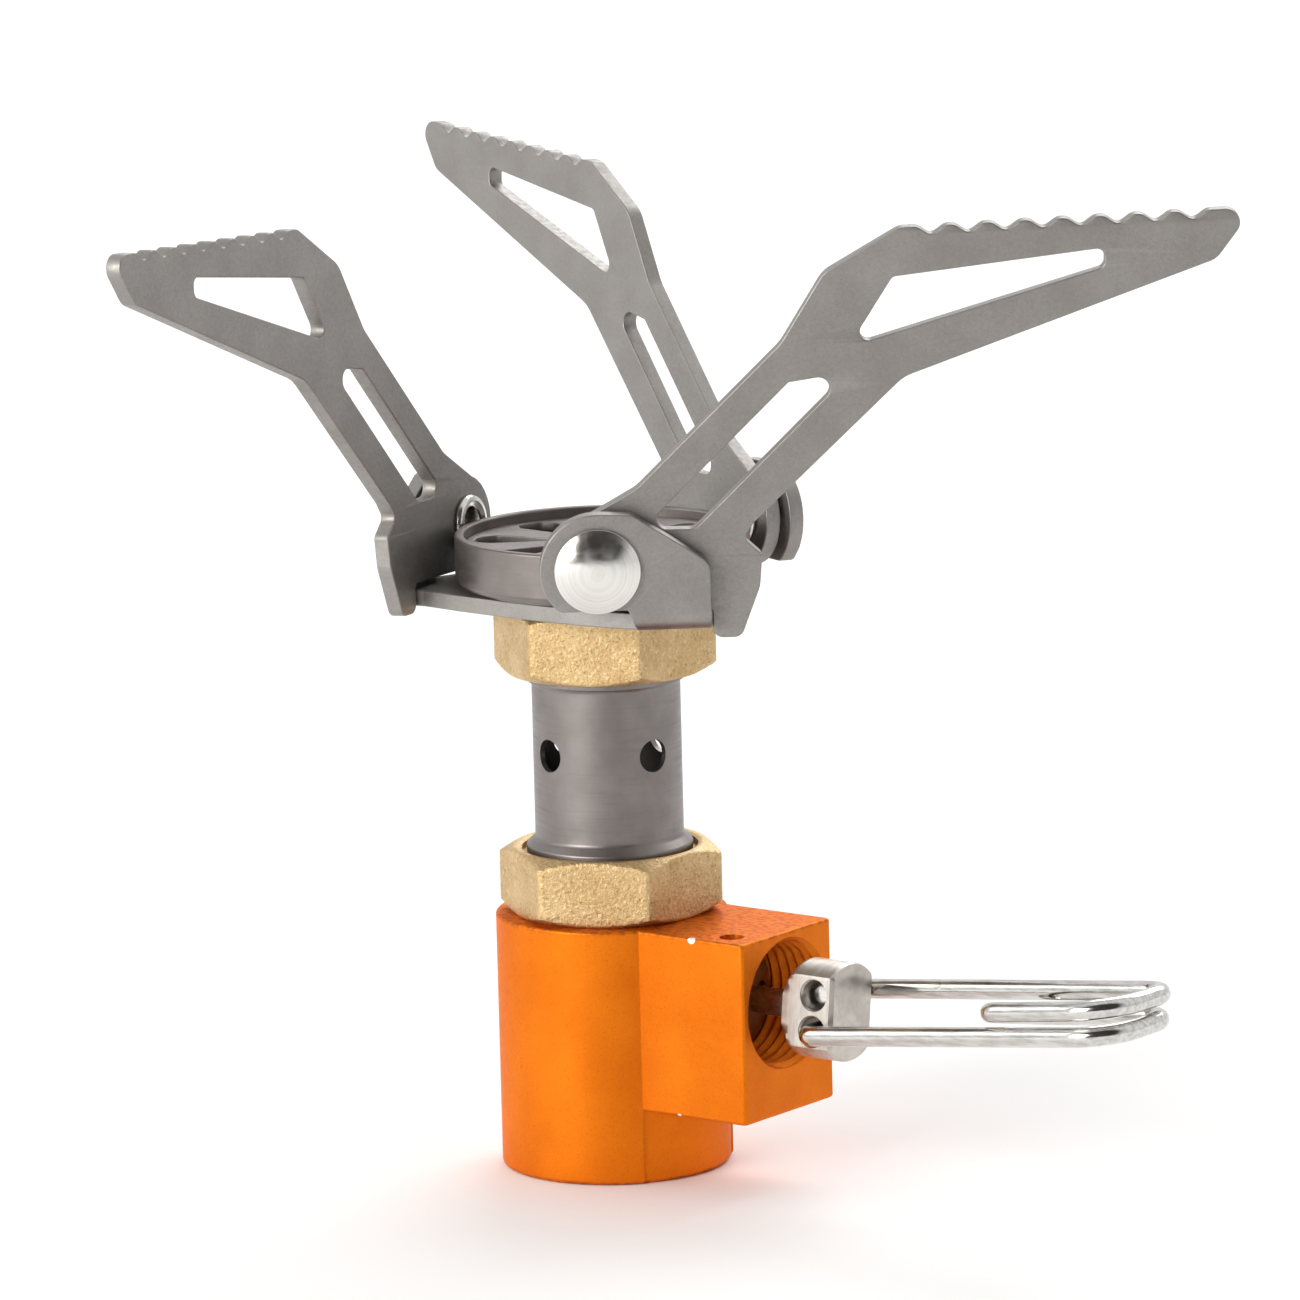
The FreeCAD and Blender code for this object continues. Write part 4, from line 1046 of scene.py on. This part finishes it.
class Bend:
    """Where the bracket's flat plate bends up into an ear, in (distance from the axis, height)."""

    def __init__(self, letter):
        place = ear_frame(letter)
        self.along = place.to_3x3().col[0]
        outward = place.to_3x3().col[2]
        self.away = Vector((outward.x, outward.y, 0)).normalized()
        self.side = place.translation.dot(self.along)
        lean = math.asin(-outward.z)
        self.angle = math.radians(90) - lean
        hinge = place.translation.dot(self.away)
        face = SHEET + WASHER
        lift = PLATE_TOP + BEND_INSIDE * (1 - math.cos(self.angle)) - place.translation.z
        end = hinge + (face + lift * math.sin(lean)) / math.cos(lean)
        self.start = end - BEND_INSIDE * math.sin(self.angle)
        self.end_v = (end - hinge) * math.sin(lean) + lift * math.cos(lean)
        self.stretch = (BEND_INSIDE + SHEET / 2) * self.angle

    def flat(self, u, v):
        """Place in the flat blank of a point (u, v) of the ear, as (x, y)."""
        return self.blank(self.start + self.stretch + v - self.end_v, u)

    def blank(self, distance, u):
        """Place in the flat blank at a distance from the axis and a u, as (x, y)."""
        point = self.away * distance + self.along * (u + self.side)
        return (point.x, point.y)

    def fold(self, point):
        """Moves a point of the flat blank, in millimetres, to its place on the bent ear."""
        distance = point.dot(self.away)
        if distance <= self.start:
            return point
        u = point.dot(self.along) - self.side
        run = distance - self.start
        reach = PLATE_TOP + BEND_INSIDE - point.z
        beyond = run - self.stretch
        if beyond >= 0 or u < EAR_FROM:
            angle = self.angle
        else:
            angle = run / self.stretch * self.angle
            beyond = 0.0
        distance = self.start + reach * math.sin(angle) + beyond * math.cos(angle)
        height = PLATE_TOP + BEND_INSIDE - reach * math.cos(angle) + beyond * math.sin(angle)
        place = self.away * distance + self.along * (u + self.side)
        place.z = height
        return place


def support_bracket():
    """One blank with three ears, cut flat and bent up."""
    bends = [Bend(letter) for letter in "acb"]
    outline = []
    for bend, following in zip(bends, bends[1:] + bends[:1]):
        outline.append((*bend.blank(NOTCH_START, 3.35), 0.15))
        outline += [(*bend.flat(u, v), radius) for u, v, radius in EAR_CORNERS]
        start = bend.blank(12.75, PLATE_CORNER_SIDE)
        outline.append((*bend.blank(14.6, PLATE_CORNER_SIDE), 0.3))
        outline.append((*start, 0.8))
        start = Vector(start)
        end = Vector(following.blank(NOTCH_START, NOTCH_SIDE))
        outwards = (start + end).normalized()
        for share in (0.2, 0.4, 0.6, 0.8):
            point = start.lerp(end, share) + outwards * (PLATE_SIDE_RISE * 4 * share * (1 - share))
            outline.append((point.x, point.y, 0))
    turn = range(0, 360, 6)
    holes = [circle_points(BURNER_HOLE, turn)]
    holes += [[bend.flat(u, v) for u, v in circle_points(2.0, turn)] for bend in bends]
    mesh = flat_sheet("bracket", rounded(outline), holes, SHEET, 0.13)
    mesh.transform(Matrix.Translation((0, 0, PLATE_BOTTOM)))
    two_tone(mesh)
    work = bmesh.new()
    work.from_mesh(mesh)
    for bend in bends:
        for k in range(BEND_STEPS + 1):
            plane = bend.away * (bend.start + bend.stretch * k / BEND_STEPS)
            geometry = work.verts[:] + work.edges[:] + work.faces[:]
            bmesh.ops.bisect_plane(work, geom=geometry, dist=1e-5, plane_co=plane, plane_no=bend.away)
    for vertex in work.verts:
        for bend in bends:
            if vertex.co.dot(bend.away) > bend.start:
                vertex.co = bend.fold(vertex.co.copy())
                break
    work.to_mesh(mesh)
    work.free()
    mesh.transform(Matrix.Scale(MM, 4))
    add_piece("bracket_sheet", mesh, "stove", ["support_bracket"],
              [BRACKET_TITANIUM, TITANIUM_EDGE_HIGHLIGHT], None, 35)


# ---------------------------------------------------------------- valve spindle, hub and handle

HUB_END = 25.4
HUB_FLATS = 2.94
HUB_ROLL = -6.8
HUB_RADIUS = 4.25
HUB_SHOULDER = 21.3
CROSS_HOLE, CROSS_HOLE_X = 1.27, 23.4
CROSS_HOLE_HEIGHTS = (-1.67, 1.43)


def spindle_hub():
    """A round hub with two flats and two cross holes, its edges eased."""
    def shape(radius, height, angle):
        across = abs(math.sin(angle))
        eased = HUB_FLATS - max(0.0, height - (HUB_END - 0.28))
        if radius < 1.5 or across < 1e-3:
            return radius
        return soft_min(radius, eased / across, 0.05)

    rows = 26
    profile = [(1.25, 19.4), (2.1, 19.4), (2.35, 19.6), (3.2, 20.2)]
    profile += [(3.9, 20.75), (4.15, 21.0), (HUB_RADIUS, HUB_SHOULDER)]
    length = HUB_END - 0.35 - HUB_SHOULDER
    profile += [(HUB_RADIUS, HUB_SHOULDER + length * k / rows) for k in range(1, rows + 1)]
    profile += [(4.15, HUB_END - 0.12), (3.95, HUB_END), (2.9, HUB_END), (1.6, HUB_END), (0, HUB_END)]
    profile += [(0, 21.5), (1.25, 21.5)]
    roll = Matrix.Translation((0, 0, VALVE_AXIS)) @ Matrix.Rotation(math.radians(HUB_ROLL), 4, "X")
    mesh = lathe("spindle_hub", profile, 240, shape, roll @ along_x())
    for height in CROSS_HOLE_HEIGHTS:
        spot = roll @ Matrix.Translation((CROSS_HOLE_X, 0, height))
        for side in (1, -1):
            face = spot @ Matrix.Rotation(math.radians(90 * side), 4, "X")
            mesh = cut(mesh, rod(CROSS_HOLE, -3.15, 0.3, face, 0.12))
    add_piece("spindle_hub_turned", mesh, "hub", ["spindle_hub"], [HUB_STEEL], None, 34)


STEM = 1.17


def needle_spindle():
    """The needle and its stem, ringed where it runs through the gland."""
    profile = [(0, 2.4), (0.35, 2.4), (STEM, 4.4), (STEM, 13.0)]
    profile += [(STEM - 0.1 * (k % 2), 13.0 + 0.2 * k) for k in range(1, 12)]
    profile += [(STEM, 15.6), (STEM, 21.3), (0, 21.3)]
    mesh = lathe("needle_spindle", profile, 64, None, along_x(VALVE_AXIS))
    add_piece("needle_stem", mesh, "needle", ["needle_spindle"], [WASHER_STEEL], None, 40)


def packing_gland():
    """The brass gland deep in the bore, with two holes for a pin spanner."""
    profile = rounded([
        (1.27, 9.7, 0.1), (5.12, 9.7, 0.2), (5.12, 13.15, 0.3),
        (1.9, 13.15, 0.05), (1.6, 12.8, 0.1), (1.27, 12.5, 0.1),
    ])
    mesh = lathe("packing_gland", profile, 96, None, along_x(VALVE_AXIS))
    for side in (-1, 1):
        face = Matrix.Translation((13.4, 3.7 * side, VALVE_AXIS))
        mesh = cut(mesh, rod(0.6, 0.0, 1.4, face @ Matrix.Rotation(math.radians(-90), 4, "Y")))
    add_piece("gland_nut", mesh, "stove", ["packing_gland"], [MACHINED_BRASS], None, 40)


WIRE = 0.86


HANDLE_LIFT = -6.1


def handle():
    """One bent wire. Its end in the hub's upper cross hole is a separate length."""
    half, start, low_end, high_end = 4.4, 19.0, 31.7, 32.1
    high_leg, high_loop = 2.42, 2.55
    split = 9.0
    joint = JOINTS["handle_fold"]
    origin = Vector((joint["pos_m"][0], 0, joint["pos_m"][2])) / MM
    place = Matrix.Translation(origin) @ Matrix.Rotation(math.radians(HANDLE_LIFT), 4, "Y")
    corners = [
        (0, 2.3, 0), (0, -half, 0), (low_end, -half, 0.36), (low_end, half, 0.38), (start, half, 0.38),
        (start, -half, 2.3), (high_end, -half, 2.6), (high_end, half, high_loop),
    ]
    rear_end = (split, half, high_leg + (high_loop - high_leg) * split / high_end)
    radii = [0, 1.3, 3.9, 2.2, 1.8, 1.7, 3.9, 2.2, 0]
    points = bent_points([place @ Vector(c) for c in corners + [rear_end]], radii)
    mesh = wire_mesh("handle", points, WIRE, ends=(0.18, 0.02))
    add_piece("handle_wire", mesh, "wire_handle", ["handle"], [WIRE_STEEL], None, 40)
    root = [rear_end, (0, half, high_leg), (0.2, -1.35, high_leg + 0.62)]
    points = bent_points([place @ Vector(c) for c in root], [0, 1.3, 0])
    first_run = [points[0].lerp(points[1], k / 14) for k in range(14)]
    mesh = wire_mesh("handle_end", first_run + points[1:], WIRE, ends=(0.02, 0.22))
    end = add_piece("handle_wire_end", mesh, None, [], [WIRE_STEEL], None, 40)
    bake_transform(end)


# ---------------------------------------------------------------- build

valve_body()
jet_holder()
burner_nut()
mixing_tube()
burner_head()
burner_plate()
support_bracket()
for hinge in "abc":
    pot_arm(hinge)
    rivet(hinge)
    washer(hinge)
spindle_hub()
needle_spindle()
packing_gland()
handle()

give("canister_seal", RUBBER)
give("spindle_seal", RUBBER)
give("actuator_pin", MACHINED_BRASS)
give("jet", MACHINED_BRASS)
give("jet_filter", MACHINED_BRASS)
